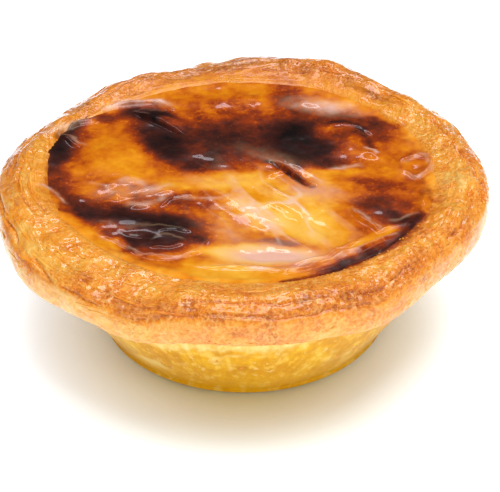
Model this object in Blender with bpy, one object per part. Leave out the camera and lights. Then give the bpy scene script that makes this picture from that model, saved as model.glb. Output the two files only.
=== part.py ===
"""A Portuguese custard tart: a puff-pastry shell pressed in a small round tin, filled with burnt-top custard.

Run with: blender --background --python part.py
Units are metres, +Z is up, and the origin is the middle of the flat base.
Each piece is a turned form, made with a spin about Z, that the oven then pushed out of round.
"""

from math import atan2, cos, exp, hypot, pi, radians, sin

import bmesh
import bpy
from mathutils import Vector

MM = 0.001

# Driving dimensions
RIM_RADIUS = 40.0 * MM  # widest part of the puffed lip
CREST_HEIGHT = 28.2 * MM  # top of the lip above the table
LIP_UNDERSIDE = 21.0 * MM  # lower edge of the lip, where the pastry hung over the tin
WALL_TOP_RADIUS = 34.8 * MM  # cup wall just under the lip
BASE_RADIUS = 24.0 * MM  # cup wall at the foot, before its rounded corner
BASE_CORNER = 1.8 * MM  # radius of that corner
PASTRY_THICKNESS = 3.4 * MM  # wall and floor of the cup
CUSTARD_RADIUS = 30.6 * MM  # where custard meets pastry at the top
CUSTARD_LEVEL = 26.7 * MM
GAP = 0.3 * MM  # clearance that keeps the two solids apart

AROUND = 78  # facets round the tart
WALL_STEPS = 1  # points added along each span of the wall's section
LIP_STEPS = 3  # the same along the lip, whose layers are finer

# How the lip baked out of round: direction in degrees, half width in degrees, push outwards, lift
LIP_SWELLINGS = (
    (18, 18, -0.6, 0.2),
    (48, 20, -0.9, 0.3),
    (66, 9, 0.7, 0.4),
    (86, 12, 0.5, 0.2),
    (108, 16, -1.3, -0.6),
    (145, 22, -2.0, -0.2),
    (178, 18, 0.4, -0.2),
    (214, 24, 1.2, -1.2),
    (244, 12, 0.5, -1.4),
    (270, 13, 0.4, 0.2),
    (303, 12, 0.2, -0.8),
    (322, 16, -1.6, -0.2),
    (350, 18, 0.1, 0.3),
)

# How the custard's opening spread, where the pastry slumped: direction, half width, push outwards
OPENING_SWELLINGS = (
    (168, 34, 1.5),
    (95, 24, -0.6),
    (300, 26, 0.5),
)

# The layers of the rolled dough show as low steps that wind slowly round the lip
LAYER_COUNT = 4
LAYER_TURNS = 1  # whole layers that the winding gains in one turn
LAYER_DEPTH = 0.36 * MM
LAYER_SKEW = 0.5  # makes each step steep on its outer side

# Blisters (up) and hollows (down) in the custard skin:
# centre x and y, half length, half width, turn in degrees, height; all lengths in mm
CUSTARD_SWELLINGS = (
    (-22.0, 5.0, 9.0, 6.5, 80, 0.7),
    (-14.5, 18.5, 5.5, 3.2, -25, 1.2),
    (-4.0, 10.0, 8.0, 6.0, 0, 0.5),
    (8.5, 11.0, 7.0, 5.0, 90, 0.7),
    (17.0, 11.0, 4.2, 3.0, 100, 1.1),
    (27.5, 3.0, 3.2, 2.4, 60, 0.8),
    (22.5, -8.0, 5.5, 4.0, 60, 0.6),
    (-16.0, -14.5, 9.0, 4.0, -20, 0.9),
    (4.0, -15.0, 10.0, 7.0, -10, -0.8),
    (0.0, 25.0, 9.0, 4.0, 0, 0.4),
)

# The crack along the near right edge, where the custard shrank from the pastry: directions in degrees
CRACK_START = -76
CRACK_END = -32
CRACK_RADIUS = 31.0 * MM
CRACK_HALF_WIDTH = 1.3 * MM
CRACK_DEPTH = 1.0 * MM


def clear_scene():
    for old in list(bpy.data.objects):
        bpy.data.objects.remove(old, do_unlink=True)


def baked_material(name, colour, roughness):
    """A plain Principled BSDF in the piece's colour."""
    material = bpy.data.materials.new(name)
    material.use_nodes = True
    shader = material.node_tree.nodes["Principled BSDF"]
    shader.inputs["Base Color"].default_value = (*colour, 1.0)
    shader.inputs["Roughness"].default_value = roughness
    shader.inputs["Metallic"].default_value = 0.0
    return material


def smooth_step(value):
    """0 below 0, 1 above 1, and an even slope between."""
    t = min(max(value, 0.0), 1.0)
    return t * t * (3 - 2 * t)


def bell(distance):
    """1 at the middle of a swelling, falling to almost nothing at 2 half widths."""
    return exp(-1.4 * distance * distance)


def turn_between(angle, centre):
    """The smallest turn from centre to angle, both in radians."""
    return (angle - centre + pi) % (2 * pi) - pi


def curve_through(points, steps):
    """A smooth curve (Catmull-Rom) through a section's own points, with steps more in each span."""
    ends = [points[0]] + list(points) + [points[-1]]
    curve = []
    for i in range(1, len(ends) - 2):
        before, start, end, after = (Vector(p) for p in ends[i - 1 : i + 3])
        for step in range(steps + 1):
            t = step / (steps + 1)
            curve.append(
                0.5
                * (
                    2 * start
                    + (end - before) * t
                    + (2 * before - 5 * start + 4 * end - after) * t**2
                    + (3 * start - before - 3 * end + after) * t**3
                )
            )
    curve.append(Vector(points[-1]))
    return curve


def wall_bulge(height):
    """Radius of the cup wall at a height: a straight taper, a little full in the middle."""
    share = (height - BASE_CORNER) / (LIP_UNDERSIDE - BASE_CORNER)
    return BASE_RADIUS + (WALL_TOP_RADIUS - BASE_RADIUS) * share + 0.7 * MM * sin(pi * share)


def wall_section():
    """Radius and height, from the flat base out round its corner and up to the lip's underside."""
    flat = BASE_RADIUS - BASE_CORNER
    corner = [
        (flat + BASE_CORNER * sin(radians(a)), BASE_CORNER * (1 - cos(radians(a))))
        for a in (0, 30, 60)
    ]
    heights = (share * LIP_UNDERSIDE for share in (0.26, 0.50, 0.74, 0.95))
    return corner + [(wall_bulge(height), height) for height in heights]


def lip_section():
    """Radius and height, from the lip's underside out round it and in to the custard's edge."""
    return [
        (WALL_TOP_RADIUS + 1.2 * MM, LIP_UNDERSIDE - 0.5 * MM),
        (RIM_RADIUS - 1.4 * MM, LIP_UNDERSIDE),
        (RIM_RADIUS - 0.2 * MM, LIP_UNDERSIDE + 1.8 * MM),
        (RIM_RADIUS - 0.2 * MM, LIP_UNDERSIDE + 4.9 * MM),
        (RIM_RADIUS - 1.7 * MM, CREST_HEIGHT - 0.9 * MM),
        (RIM_RADIUS - 4.0 * MM, CREST_HEIGHT),
        (RIM_RADIUS - 7.0 * MM, CREST_HEIGHT - 0.6 * MM),
        (CUSTARD_RADIUS, CUSTARD_LEVEL + 0.3 * MM),
    ]


def inner_section():
    """Radius and height of the cup's inside, from the custard's edge down to the floor."""
    floor_radius = BASE_RADIUS - BASE_CORNER
    return [
        (CUSTARD_RADIUS - 0.5 * MM, CUSTARD_LEVEL - 2.6 * MM),
        (wall_bulge(0.60 * LIP_UNDERSIDE) - PASTRY_THICKNESS, 0.60 * LIP_UNDERSIDE),
        (wall_bulge(0.26 * LIP_UNDERSIDE) - PASTRY_THICKNESS, 0.26 * LIP_UNDERSIDE),
        (floor_radius, PASTRY_THICKNESS),
    ]


def lip_push(angle):
    """How far the lip stands out of round, and how far it is lifted, in one direction."""
    push = lift = 0.0
    for direction, half_width, out, up in LIP_SWELLINGS:
        near = bell(turn_between(angle, radians(direction)) / radians(half_width))
        push += out * MM * near
        lift += up * MM * near
    return push, lift


def opening_push(radius, height, angle):
    """How far the custard's edge spread: most at the top, nothing at the rim or the floor."""
    spread = sum(
        out * MM * bell(turn_between(angle, radians(direction)) / radians(half_width))
        for direction, half_width, out in OPENING_SWELLINGS
    )
    inwards = min(radius / CUSTARD_RADIUS, 1.0)
    outwards = smooth_step((RIM_RADIUS - 3 * MM - radius) / (RIM_RADIUS - 3 * MM - CUSTARD_RADIUS))
    above_floor = smooth_step((height - 2 * PASTRY_THICKNESS) / (CUSTARD_LEVEL - 2 * PASTRY_THICKNESS))
    return spread * inwards * outwards * above_floor


def layer_step(radius, angle):
    """Height of the dough's winding layers on top of the lip."""
    across = (radius - CUSTARD_RADIUS) / (RIM_RADIUS - CUSTARD_RADIUS)
    phase = LAYER_COUNT * across + LAYER_TURNS * angle / (2 * pi) + 0.35 * sin(3 * angle)
    fade = smooth_step(across * 3) * smooth_step((1.05 - across) * 4)
    turn = 2 * pi * phase
    return LAYER_DEPTH * fade * sin(turn + LAYER_SKEW * sin(turn))


def crack_depth(x, y):
    """Depth of the crack between custard and pastry, 0 away from it."""
    angle = atan2(y, x)
    middle = radians((CRACK_START + CRACK_END) / 2)
    half_length = radians((CRACK_END - CRACK_START) / 2)
    along = smooth_step(3 * (1 - abs(turn_between(angle, middle)) / half_length))
    return CRACK_DEPTH * along * bell((hypot(x, y) - CRACK_RADIUS) / CRACK_HALF_WIDTH)


def custard_relief(x, y):
    """Height of the custard skin above its level."""
    height = 0.0
    for centre_x, centre_y, half_length, half_width, turn, rise in CUSTARD_SWELLINGS:
        dx, dy = x - centre_x * MM, y - centre_y * MM
        c, s = cos(radians(turn)), sin(radians(turn))
        along, across = (dx * c + dy * s) / (half_length * MM), (dy * c - dx * s) / (half_width * MM)
        height += rise * MM * bell(hypot(along, across))
    edge = smooth_step((hypot(x, y) / CUSTARD_RADIUS - 0.80) / 0.20)
    return height * (1 - edge) - crack_depth(x, y)


def is_inside(radius, height):
    """True for the shell's top and its inside, false for its outer wall and the lip's underside."""
    return height > CUSTARD_LEVEL - 1 * MM or radius < wall_bulge(height) - PASTRY_THICKNESS / 2


def baked_shell(point):
    """Moves a point of the turned shell to where baking left it."""
    radius, angle = hypot(point.x, point.y), atan2(point.y, point.x)
    if radius < BASE_RADIUS - BASE_CORNER / 2:
        return point
    push, lift = lip_push(angle)
    reach = smooth_step((radius - CUSTARD_RADIUS) / (RIM_RADIUS - 3 * MM - CUSTARD_RADIUS))
    rise = smooth_step((point.z - 0.6 * LIP_UNDERSIDE) / (0.4 * LIP_UNDERSIDE))
    on_top = smooth_step((point.z - CUSTARD_LEVEL + 1.5 * MM) / (1.5 * MM))
    new_radius = radius + push * reach
    if is_inside(radius, point.z):
        new_radius += opening_push(radius, point.z, angle)
    height = point.z + rise * reach * lift
    if on_top > 0:
        height += on_top * (layer_step(radius, angle) - crack_depth(point.x, point.y))
    return Vector((new_radius * cos(angle), new_radius * sin(angle), height))


def baked_custard(point):
    """Moves a point of the turned custard: its edge spread, and its top is blistered and cracked."""
    radius, angle = hypot(point.x, point.y), atan2(point.y, point.x)
    on_top = smooth_step((point.z - CUSTARD_LEVEL + 1.5 * MM) / (1.5 * MM))
    new_radius = radius + opening_push(radius, point.z, angle)
    height = point.z + on_top * custard_relief(point.x, point.y)
    return Vector((new_radius * cos(angle), new_radius * sin(angle), height))


def turned_piece(name, section, shape, material):
    """A closed piece from a section spun round Z, each of whose points is then moved by shape."""
    mesh = bmesh.new()
    verts = [mesh.verts.new((radius, 0, height)) for radius, height in section]
    edges = [mesh.edges.new(pair) for pair in zip(verts, verts[1:])]
    bmesh.ops.spin(
        mesh,
        geom=verts + edges,
        cent=(0, 0, 0),
        axis=(0, 0, 1),
        angle=2 * pi,
        steps=AROUND,
        use_merge=True,
    )
    bmesh.ops.remove_doubles(mesh, verts=mesh.verts, dist=0.01 * MM)
    for vert in mesh.verts:
        vert.co = shape(vert.co)
    bmesh.ops.recalc_face_normals(mesh, faces=mesh.faces)
    data = bpy.data.meshes.new(name)
    mesh.to_mesh(data)
    mesh.free()
    data.shade_smooth()
    data.set_sharp_from_angle(angle=radians(40))
    data.materials.append(material)
    piece = bpy.data.objects.new(name, data)
    bpy.context.scene.collection.objects.link(piece)
    return piece


def pastry_shell():
    """The cup and its wide flaky lip, open at the top for the custard."""
    outside = curve_through(wall_section(), WALL_STEPS) + curve_through(lip_section(), LIP_STEPS)
    section = [(0, 0)] + outside + inner_section() + [(0, PASTRY_THICKNESS)]
    golden = baked_material("golden pastry", (0.80, 0.40, 0.11), 0.6)
    return turned_piece("pastry_shell", section, baked_shell, golden)


def custard_filling():
    """The custard: a solid that fills the cup up to its burnt, blistered skin."""
    sides = [(radius - GAP, height) for radius, height in inner_section()[:-1]]
    floor_radius, floor_height = inner_section()[-1]
    underside = [(0, floor_height + GAP), (floor_radius - GAP, floor_height + GAP)]
    rings = 12
    edge = CUSTARD_RADIUS - GAP
    top = [(edge * (1 - i / rings), CUSTARD_LEVEL) for i in range(rings + 1)]
    section = underside + sides[::-1] + top
    burnt = baked_material("burnt custard", (0.66, 0.22, 0.02), 0.25)
    return turned_piece("custard", section, baked_custard, burnt)


clear_scene()
tart = bpy.data.objects.new("tart", None)
bpy.context.scene.collection.objects.link(tart)
for piece in (pastry_shell(), custard_filling()):
    piece.parent = tart
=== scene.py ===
# %% [markdown]
# # Baking a Portuguese custard tart
#
# This lesson dresses a plain solid model of a pastel de nata: a cup of rolled puff pastry with a wide
# flaky lip, filled with custard that a very hot oven has burnt in dark, glossy patches. The solid model
# is loaded first and stays as it is. Everything below is built around it, in metres, with +Z up.

from math import cos, pi, radians, sin

import bpy
import numpy as np
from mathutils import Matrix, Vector


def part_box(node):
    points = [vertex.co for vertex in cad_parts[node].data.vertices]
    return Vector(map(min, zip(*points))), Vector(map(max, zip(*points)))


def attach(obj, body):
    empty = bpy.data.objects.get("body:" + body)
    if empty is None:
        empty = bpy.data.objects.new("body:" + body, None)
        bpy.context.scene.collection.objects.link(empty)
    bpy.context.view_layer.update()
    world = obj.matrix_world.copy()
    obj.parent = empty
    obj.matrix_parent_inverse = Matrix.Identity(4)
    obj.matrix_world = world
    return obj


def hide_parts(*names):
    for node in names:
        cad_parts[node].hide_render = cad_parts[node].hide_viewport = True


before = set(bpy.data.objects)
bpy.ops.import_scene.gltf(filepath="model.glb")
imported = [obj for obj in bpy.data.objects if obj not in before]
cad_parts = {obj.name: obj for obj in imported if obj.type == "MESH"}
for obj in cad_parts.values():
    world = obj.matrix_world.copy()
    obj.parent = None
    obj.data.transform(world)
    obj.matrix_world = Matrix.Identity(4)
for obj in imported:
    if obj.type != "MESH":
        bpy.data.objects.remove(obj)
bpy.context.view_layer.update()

MM = 0.001
shell_low, shell_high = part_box("pastry_shell")
print("shell, mm:", [round(v / MM, 1) for v in (*shell_low, *shell_high)])

# %% [markdown]
# ## The measures of the tart
#
# A tart like this is turned: one section, swept round the upright axis, gives the whole cup. The oven then
# pushes the lip out of round. So the looks need the same section and the same pushes as the solid model,
# only far finer. All of them hang on a few driving sizes.

# %% Driving sizes
RIM_RADIUS = 40.0 * MM  # widest part of the puffed lip
CREST_HEIGHT = 28.2 * MM  # top of the lip
LIP_UNDERSIDE = 21.0 * MM  # where the lip hung over the tin
WALL_TOP_RADIUS = 34.8 * MM
BASE_RADIUS = 24.0 * MM
BASE_CORNER = 1.8 * MM
PASTRY_THICKNESS = 3.4 * MM
CUSTARD_RADIUS = 30.6 * MM
CUSTARD_LEVEL = 26.7 * MM

# Each swelling of the lip: direction in degrees, half width in degrees, push outwards in mm, lift in mm
LIP_SWELLINGS = (
    (18, 18, -0.6, 0.2),
    (48, 20, -0.9, 0.3),
    (66, 9, 0.7, 0.4),
    (86, 12, 0.5, 0.2),
    (108, 16, -1.3, -0.6),
    (145, 22, -2.0, -0.2),
    (178, 18, 0.4, -0.2),
    (214, 24, 1.2, -1.2),
    (244, 12, 0.5, -1.4),
    (270, 13, 0.4, 0.2),
    (303, 12, 0.2, -0.8),
    (322, 16, -1.6, -0.2),
    (350, 18, 0.1, 0.3),
)
# Where the custard's edge spread: direction, half width, push outwards in mm
OPENING_SWELLINGS = (
    (168, 34, 1.5),
    (95, 24, -0.6),
    (300, 26, 0.5),
)

# %% [markdown]
# ## Small tools for shapes
#
# `numpy` moves a hundred thousand points at once, where a Python loop would take minutes. These helpers all
# take arrays: a soft step, a bell, the turn between two directions, and the distance to a drawn stroke.
# The noise is made here too, from a hash of lattice corners, so that it is the same on every run.


# %% Steps, bells and turns
def smooth_step(value):
    """0 below 0, 1 above 1, and an even slope between."""
    t = np.clip(value, 0.0, 1.0)
    return t * t * (3 - 2 * t)


def bell(distance):
    """1 at the middle, and almost nothing at 2 half widths."""
    return np.exp(-1.4 * distance * distance)


def turn_between(angle, centre):
    """The smallest turn from centre to angle, in radians."""
    return (angle - centre + pi) % (2 * pi) - pi


def facing(angle, direction, half_width):
    """1 in one direction, given in degrees, and almost nothing at 2 half widths from it."""
    return bell(turn_between(angle, radians(direction)) / radians(half_width))


RING_RADIUS = 38  # mm


def ring_place(angle, radius=RING_RADIUS):
    """The point of a ring round the tart, in mm, where noise is read for a direction."""
    return radius * np.cos(angle), radius * np.sin(angle)


# %% Repeatable noise
def corner_value(ix, iy, iz, seed):
    """A fixed value from -1 to 1 for each corner of a lattice."""
    word = (ix * 374761393 + iy * 668265263 + iz * 1274126177 + seed * 974634777) & 0xFFFFFFFF
    word = ((word ^ (word >> 13)) * 1103515245) & 0xFFFFFFFF
    word = ((word ^ (word >> 15)) * 2246822519) & 0xFFFFFFFF
    return ((word ^ (word >> 16)) & 0xFFFFFF) / 0x7FFFFF - 1.0


def noise(x, y, z=0.0, size=1.0, seed=0, octaves=1):
    """Smooth noise about 0, with bumps of one size. Each octave adds half as much at half the size."""
    x, y, z = np.broadcast_arrays(x, y, z)
    total, weight = np.zeros(x.shape), 1.0
    for octave in range(octaves):
        scale = 2**octave / size
        cells, fades = [], []
        for axis in (x, y, z):
            at = axis * scale + 17.37 * (octave + 1)
            cell = np.floor(at).astype(np.int64)
            part = at - cell
            cells.append(cell)
            fades.append(part * part * part * (part * (part * 6 - 15) + 10))
        for corner in range(8):
            step = [(corner >> k) & 1 for k in range(3)]
            share = 1.0
            for fade, up in zip(fades, step):
                share = share * (fade if up else 1 - fade)
            corner_cell = [c + s for c, s in zip(cells, step)]
            total += weight * share * corner_value(*corner_cell, seed + 31 * octave)
        weight *= 0.5
    return total


# %% Strokes drawn on the tart
def smooth_path(points, steps=8):
    """More points on a smooth curve (Catmull-Rom) through a few given ones."""
    p = np.array(points, float)
    p = np.vstack([2 * p[0] - p[1], p, 2 * p[-1] - p[-2]])
    t = np.linspace(0, 1, steps, endpoint=False)[:, None]
    spans = []
    for a, b, c, d in zip(p, p[1:], p[2:], p[3:]):
        bend, twist = 2 * a - 5 * b + 4 * c - d, 3 * b - a - 3 * c + d
        spans.append(0.5 * (2 * b + (c - a) * t + bend * t**2 + twist * t**3))
    return np.vstack(spans + [p[-2:-1]])


def beside_path(x, y, points):
    """Distance to a path, the side of it (left is positive), and how far along it, from 0 to 1."""
    path = smooth_path(points) if len(points) > 2 else np.array(points, float)
    best, side, along = np.full(x.shape, 1e9), np.zeros(x.shape), np.zeros(x.shape)
    for i, (a, b) in enumerate(zip(path, path[1:])):
        run = b - a
        t = np.clip(((x - a[0]) * run[0] + (y - a[1]) * run[1]) / (run @ run), 0, 1)
        dx, dy = x - a[0] - run[0] * t, y - a[1] - run[1] * t
        distance = np.hypot(dx, dy)
        nearer = distance < best
        best = np.where(nearer, distance, best)
        side = np.where(nearer, np.sign(run[0] * dy - run[1] * dx), side)
        along = np.where(nearer, (i + t) / (len(path) - 1), along)
    return best, side, along


def tapered(along):
    """Full in the middle of a stroke and nothing at its ends."""
    return smooth_step(4 * along) * smooth_step(4 * (1 - along))


def oval_distance(x, y, centre_x, centre_y, half_length, half_width, turn):
    """Distance from the middle of an oval, 1 on its edge."""
    c, s = cos(radians(turn)), sin(radians(turn))
    dx, dy = x - centre_x, y - centre_y
    return np.hypot((dx * c + dy * s) / half_length, (dy * c - dx * s) / half_width)


def oval(x, y, *shape):
    """1 in the middle of an oval patch, falling softly past its edge."""
    return bell(oval_distance(x, y, *shape))


def patch(x, y, shape, softness):
    """1 inside an oval patch and 0 outside it, with a soft edge."""
    return 1 - smooth_step((oval_distance(x, y, *shape) - 1) / softness + 0.5)


# %% [markdown]
# ## The section and the oven's pushes
#
# The section is a short list of points with a smooth curve through them, read again at even steps along its
# length, so that the fine mesh has cells of one size. The pushes are the solid model's own.


# %% Sections
def even_curve(points, count):
    """count points at even steps along a smooth curve through a section's own points."""
    dense = smooth_path(points, 24)
    run = np.concatenate([[0], np.cumsum(np.hypot(*np.diff(dense, axis=0).T))])
    at = np.linspace(0, run[-1], count)
    return np.column_stack([np.interp(at, run, dense[:, 0]), np.interp(at, run, dense[:, 1])])


def wall_bulge(height):
    """Radius of the cup wall at a height: a straight taper, a little full in the middle."""
    share = (height - BASE_CORNER) / (LIP_UNDERSIDE - BASE_CORNER)
    return BASE_RADIUS + (WALL_TOP_RADIUS - BASE_RADIUS) * share + 0.7 * MM * sin(pi * share)


def lip_push(angle):
    """How far the lip stands out of round, and its lift, in metres, in each direction."""
    push, lift = np.zeros(angle.shape), np.zeros(angle.shape)
    for direction, half_width, out, up in LIP_SWELLINGS:
        near = facing(angle, direction, half_width)
        push += out * MM * near
        lift += up * MM * near
    return push, lift


def opening_push(radius, height, angle):
    """How far the custard's edge spread, in metres: most at the top, nothing at the rim or the floor."""
    spread = np.zeros(angle.shape)
    for direction, half_width, out in OPENING_SWELLINGS:
        spread = spread + out * MM * facing(angle, direction, half_width)
    inwards = np.minimum(radius / CUSTARD_RADIUS, 1.0)
    reach = RIM_RADIUS - 3 * MM
    outwards = smooth_step((reach - radius) / (reach - CUSTARD_RADIUS))
    above_floor = smooth_step((height - 2 * PASTRY_THICKNESS) / (CUSTARD_LEVEL - 2 * PASTRY_THICKNESS))
    return spread * inwards * outwards * above_floor


# %% A mesh from a turned grid of points
def turned_mesh(name, points, attributes=(), poles=None):
    """A closed mesh from points[direction, step along the section], with a pole at each end if given.

    Without poles the section closes on itself, as a ring's does. Attributes are (name, values) pairs on
    the same grid; a pole takes the mean of its neighbours."""
    around, steps = points.shape[:2]
    index = np.arange(around * steps).reshape(around, steps)
    beside = np.roll(index, -1, axis=0)
    if poles is None:
        up, beside_up = np.roll(index, -1, axis=1), np.roll(beside, -1, axis=1)
        quads = np.stack([index, beside, beside_up, up], -1).reshape(-1, 4)
        faces = quads.tolist()
        verts = points.reshape(-1, 3)
    else:
        quads = np.stack([index[:, :-1], beside[:, :-1], beside[:, 1:], index[:, 1:]], -1).reshape(-1, 4)
        first, last = around * steps, around * steps + 1
        start = np.stack([np.full(around, first), beside[:, 0], index[:, 0]], -1)
        end = np.stack([np.full(around, last), index[:, -1], beside[:, -1]], -1)
        faces = quads.tolist() + start.tolist() + end.tolist()
        verts = np.vstack([points.reshape(-1, 3), poles])
    mesh = bpy.data.meshes.new(name)
    mesh.from_pydata(verts.tolist(), [], faces)
    mesh.shade_smooth()
    for label, values in attributes:
        flat = values.reshape(around * steps, -1)
        if poles is not None:
            ends = values.reshape(around, steps, -1)[:, [0, -1]].mean(axis=0)
            flat = np.vstack([flat, ends])
        kind = "FLOAT" if flat.shape[1] == 1 else "FLOAT_VECTOR"
        layer = mesh.attributes.new(label, kind, "POINT")
        layer.data.foreach_set("value" if kind == "FLOAT" else "vector", flat.astype(np.float32).ravel())
    piece = bpy.data.objects.new(name, mesh)
    bpy.context.scene.collection.objects.link(piece)
    print(f"{name}: {len(mesh.vertices)} points, {sum(len(f) - 2 for f in faces)} triangles")
    return piece


# %% [markdown]
# ## How the custard browned
#
# The custard boiled over the inner edge of the lip, so the lip and the filling share one browning. It is
# drawn in millimetres from the middle of the tart: ovals for patches and long strokes for bands. A little
# noise bends every stroke, so that no edge looks drawn. Two more masks are drawn in the same way: painted
# highlights, a pale milky tint where the glaze would catch the light, and the dry crust into which the
# custard passes at its near and right edge.

# %% How the custard browned
# Burnt ovals: centre x and y, half length, half width, turn in degrees, browning added
BURNT_OVALS = (
    (-30.4, 9.0, 5.4, 2.0, 84, 0.80),
    (-27.6, 9.5, 4.6, 1.7, 60, 0.40),
    (-15.2, 19.2, 5.6, 2.3, -28, 0.93),
    (-22.4, 19.0, 3.4, 1.4, 20, 0.50),
    (-28.4, 14.8, 3.0, 1.7, 50, 0.62),
    (-14.2, 12.4, 8.0, 3.6, -62, 0.74),
    (-12.6, 10.4, 5.4, 2.2, -75, 0.62),
    (-3.5, 10.2, 8.6, 7.0, 0, 0.66),
    (-8.0, 4.6, 4.6, 3.0, 0, 0.45),
    (-2.0, 16.5, 9.0, 3.4, 0, 0.26),
    (8.6, 12.0, 7.6, 4.6, 82, 0.96),
    (11.5, 7.2, 4.2, 3.2, 30, 0.82),
    (4.6, 13.5, 3.0, 5.6, 0, 0.36),
    (17.5, 17.8, 6.6, 2.6, -12, 0.44),
    (22.6, 14.0, 3.6, 2.6, -50, 0.42),
    (14.6, 4.3, 4.2, 1.4, 14, 0.60),
    (21.5, -2.8, 3.4, 2.0, -10, 0.28),
    (22.4, -9.0, 5.0, 3.8, -40, 0.46),
    (24.4, -13.0, 3.4, 2.0, -40, 0.55),
    (27.2, -6.5, 2.2, 4.6, 0, 0.08),
    (-24.5, -10.2, 4.6, 2.8, -35, 0.40),
    (-12.5, -7.4, 5.4, 1.9, -8, 0.44),
    (-16.5, -14.0, 7.0, 2.4, -10, 0.50),
    (-18.0, -11.6, 6.6, 2.7, -14, 0.76),
    (-12.4, -13.6, 5.6, 2.6, -10, 0.78),
    (-12.4, -18.0, 5.6, 2.8, -6, 0.84),
    (-19.0, -17.6, 3.6, 1.6, -30, 0.50),
    (-11.0, -27.2, 1.8, 1.2, 20, 0.40),
    (6.8, 25.5, 2.6, 5.0, 0, 0.45),
    (-2.5, 22.0, 4.0, 2.4, 0, 0.14),
    (12.0, 21.5, 5.0, 1.8, -20, 0.28),
    (6.0, -18.3, 2.4, 0.8, -12, 0.40),
    (-21.0, -2.0, 5.0, 2.4, -10, 0.14),
    (-6.5, -6.0, 4.0, 3.0, 0, 0.16),
    (-2.0, 25.5, 12.0, 5.0, 0, 0.05),
    (-20.0, 10.0, 8.0, 10.0, 0, 0.13),
    (0.0, 37.5, 26.0, 5.5, 0, 0.26),
    (17.8, 11.6, 2.6, 3.4, 10, 0.30),
)
# The tear between the black patch and the wrinkled skin
TEAR = ((4.0, 4.8), (7.6, 0.9), (11.6, -3.2))
# The long burn along the near right edge, which dried matt
CRESCENT = ((6.5, -30.2), (12.2, -27.8), (17.0, -24.9), (22.0, -21.2), (25.6, -17.0), (28.4, -12.4))
# Burnt strokes: half width, browning added, then the points of the stroke
BURNT_STROKES = (
    (2.3, 0.56, ((-28.6, 15.6), (-31.2, 10.0), (-31.6, 4.0), (-30.8, -1.5), (-28.6, -6.6), (-25.0, -11.0))),
    (0.8, 0.66, TEAR),
    (0.9, 0.60, ((14.5, 17.8), (18.6, 16.4), (20.8, 12.6), (21.4, 9.0))),
    (1.9, 0.74, CRESCENT),
    (0.9, 0.25, ((-22.5, -15.6), (-19.8, -19.0), (-15.0, -21.2), (-8.0, -21.0), (-6.4, -18.6))),
)
# Paler ovals: centre x and y, half length, half width, turn, share of the browning taken away
PALE_OVALS = (
    (5.4, -8.5, 10.0, 6.2, -45, 0.38),
    (11.0, -14.5, 7.0, 4.0, -40, 0.40),
    (1.0, -1.5, 6.5, 2.4, 8, 0.20),
    # The next oval lightens the pool, under its painted pink reflection
    (2.2, -22.0, 9.0, 2.7, -5, 0.90),
    (-2.0, -28.0, 13.0, 2.8, -2, 0.48),
    (-12.4, 17.4, 2.2, 1.2, -30, 0.26),
    (-19.8, -19.0, 2.2, 1.3, -20, 0.35),
    (20.5, -17.8, 4.5, 1.2, 40, 0.35),
    (-21.0, 7.0, 4.8, 9.0, 10, 0.24),
    (-6.0, -1.0, 8.0, 2.6, 0, 0.26),
    (-22.5, -18.5, 3.4, 1.6, -40, 0.20),
)
# A painted highlight line along the edge of the low step at the lower left
TERRACE_HIGHLIGHT = ((-24.0, -15.8), (-20.4, -18.2), (-16.2, -22.0), (-11.6, -23.2), (-7.4, -21.6), (-5.6, -18.2))
# Painted highlights, pale pink-white lines where the glaze would catch the light: half width, strength, then
# the points of the stroke
HIGHLIGHT_STROKES = (
    (0.7, 0.70, ((-34.0, 10.6), (-31.4, 13.4), (-28.4, 16.2), (-24.6, 18.0))),
    (0.4, 0.45, ((-31.4, 12.6), (-28.8, 11.8), (-26.0, 8.6))),
    (0.5, 0.50, ((-33.6, -3.0), (-30.8, -4.6), (-27.6, -8.4))),
    (0.5, 0.40, ((-37.0, 14.0), (-33.0, 20.0), (-28.0, 25.4))),
    (1.0, 0.95, ((-25.4, 20.0), (-21.4, 22.8), (-16.4, 24.2), (-11.0, 21.4))),
    (0.5, 0.40, ((-25.4, -1.4), (-22.4, -3.8), (-20.6, -6.4))),
    (0.8, 0.50, ((-21.0, -2.6), (-18.4, -1.6), (-15.8, -3.2))),
    (0.9, 0.50, ((-17.4, -4.6), (-14.0, -3.4), (-11.6, -1.6))),
    (0.8, 0.50, ((-19.6, -8.0), (-16.8, -8.5), (-13.6, -7.2), (-11.6, -4.4))),
    (0.4, 0.25, ((-24.4, -13.2), (-18.6, -14.6), (-13.0, -14.4), (-9.4, -15.6))),
    (0.3, 0.25, ((-15.4, -18.4), (-12.4, -17.4), (-8.8, -18.4))),
    (0.3, 0.30, TERRACE_HIGHLIGHT),
    (0.35, 0.70, ((-8.0, -24.6), (-1.0, -25.5), (6.0, -26.2), (9.6, -24.2), (11.8, -20.8))),
    (0.4, 0.50, ((3.4, 6.0), (6.6, 3.4), (10.6, 0.4), (13.0, -3.0))),
    (0.6, 0.50, ((13.2, 2.6), (17.0, 3.0), (20.0, 4.6))),
    (0.6, 0.60, ((19.8, 9.2), (21.4, 7.6), (22.6, 6.6))),
    (0.5, 0.42, ((25.2, 3.0), (26.4, 5.0), (29.4, 6.4), (30.4, 4.4), (29.8, 1.4), (27.6, 0.0), (25.2, 3.0))),
    (0.4, 0.45, ((17.0, -8.4), (19.4, -12.4), (22.0, -16.4))),
    (0.4, 0.35, ((22.4, -13.4), (25.4, -12.4), (28.0, -10.6))),
    (0.35, 0.45, ((4.0, -27.6), (12.6, -24.0), (20.4, -19.2), (26.4, -14.8))),
    (0.7, 0.35, ((-11.0, -6.0), (-6.4, -7.0), (-2.2, -6.2))),
    (0.8, 0.45, ((-6.0, -9.4), (-1.0, -8.8), (3.0, -10.6))),
)
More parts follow.
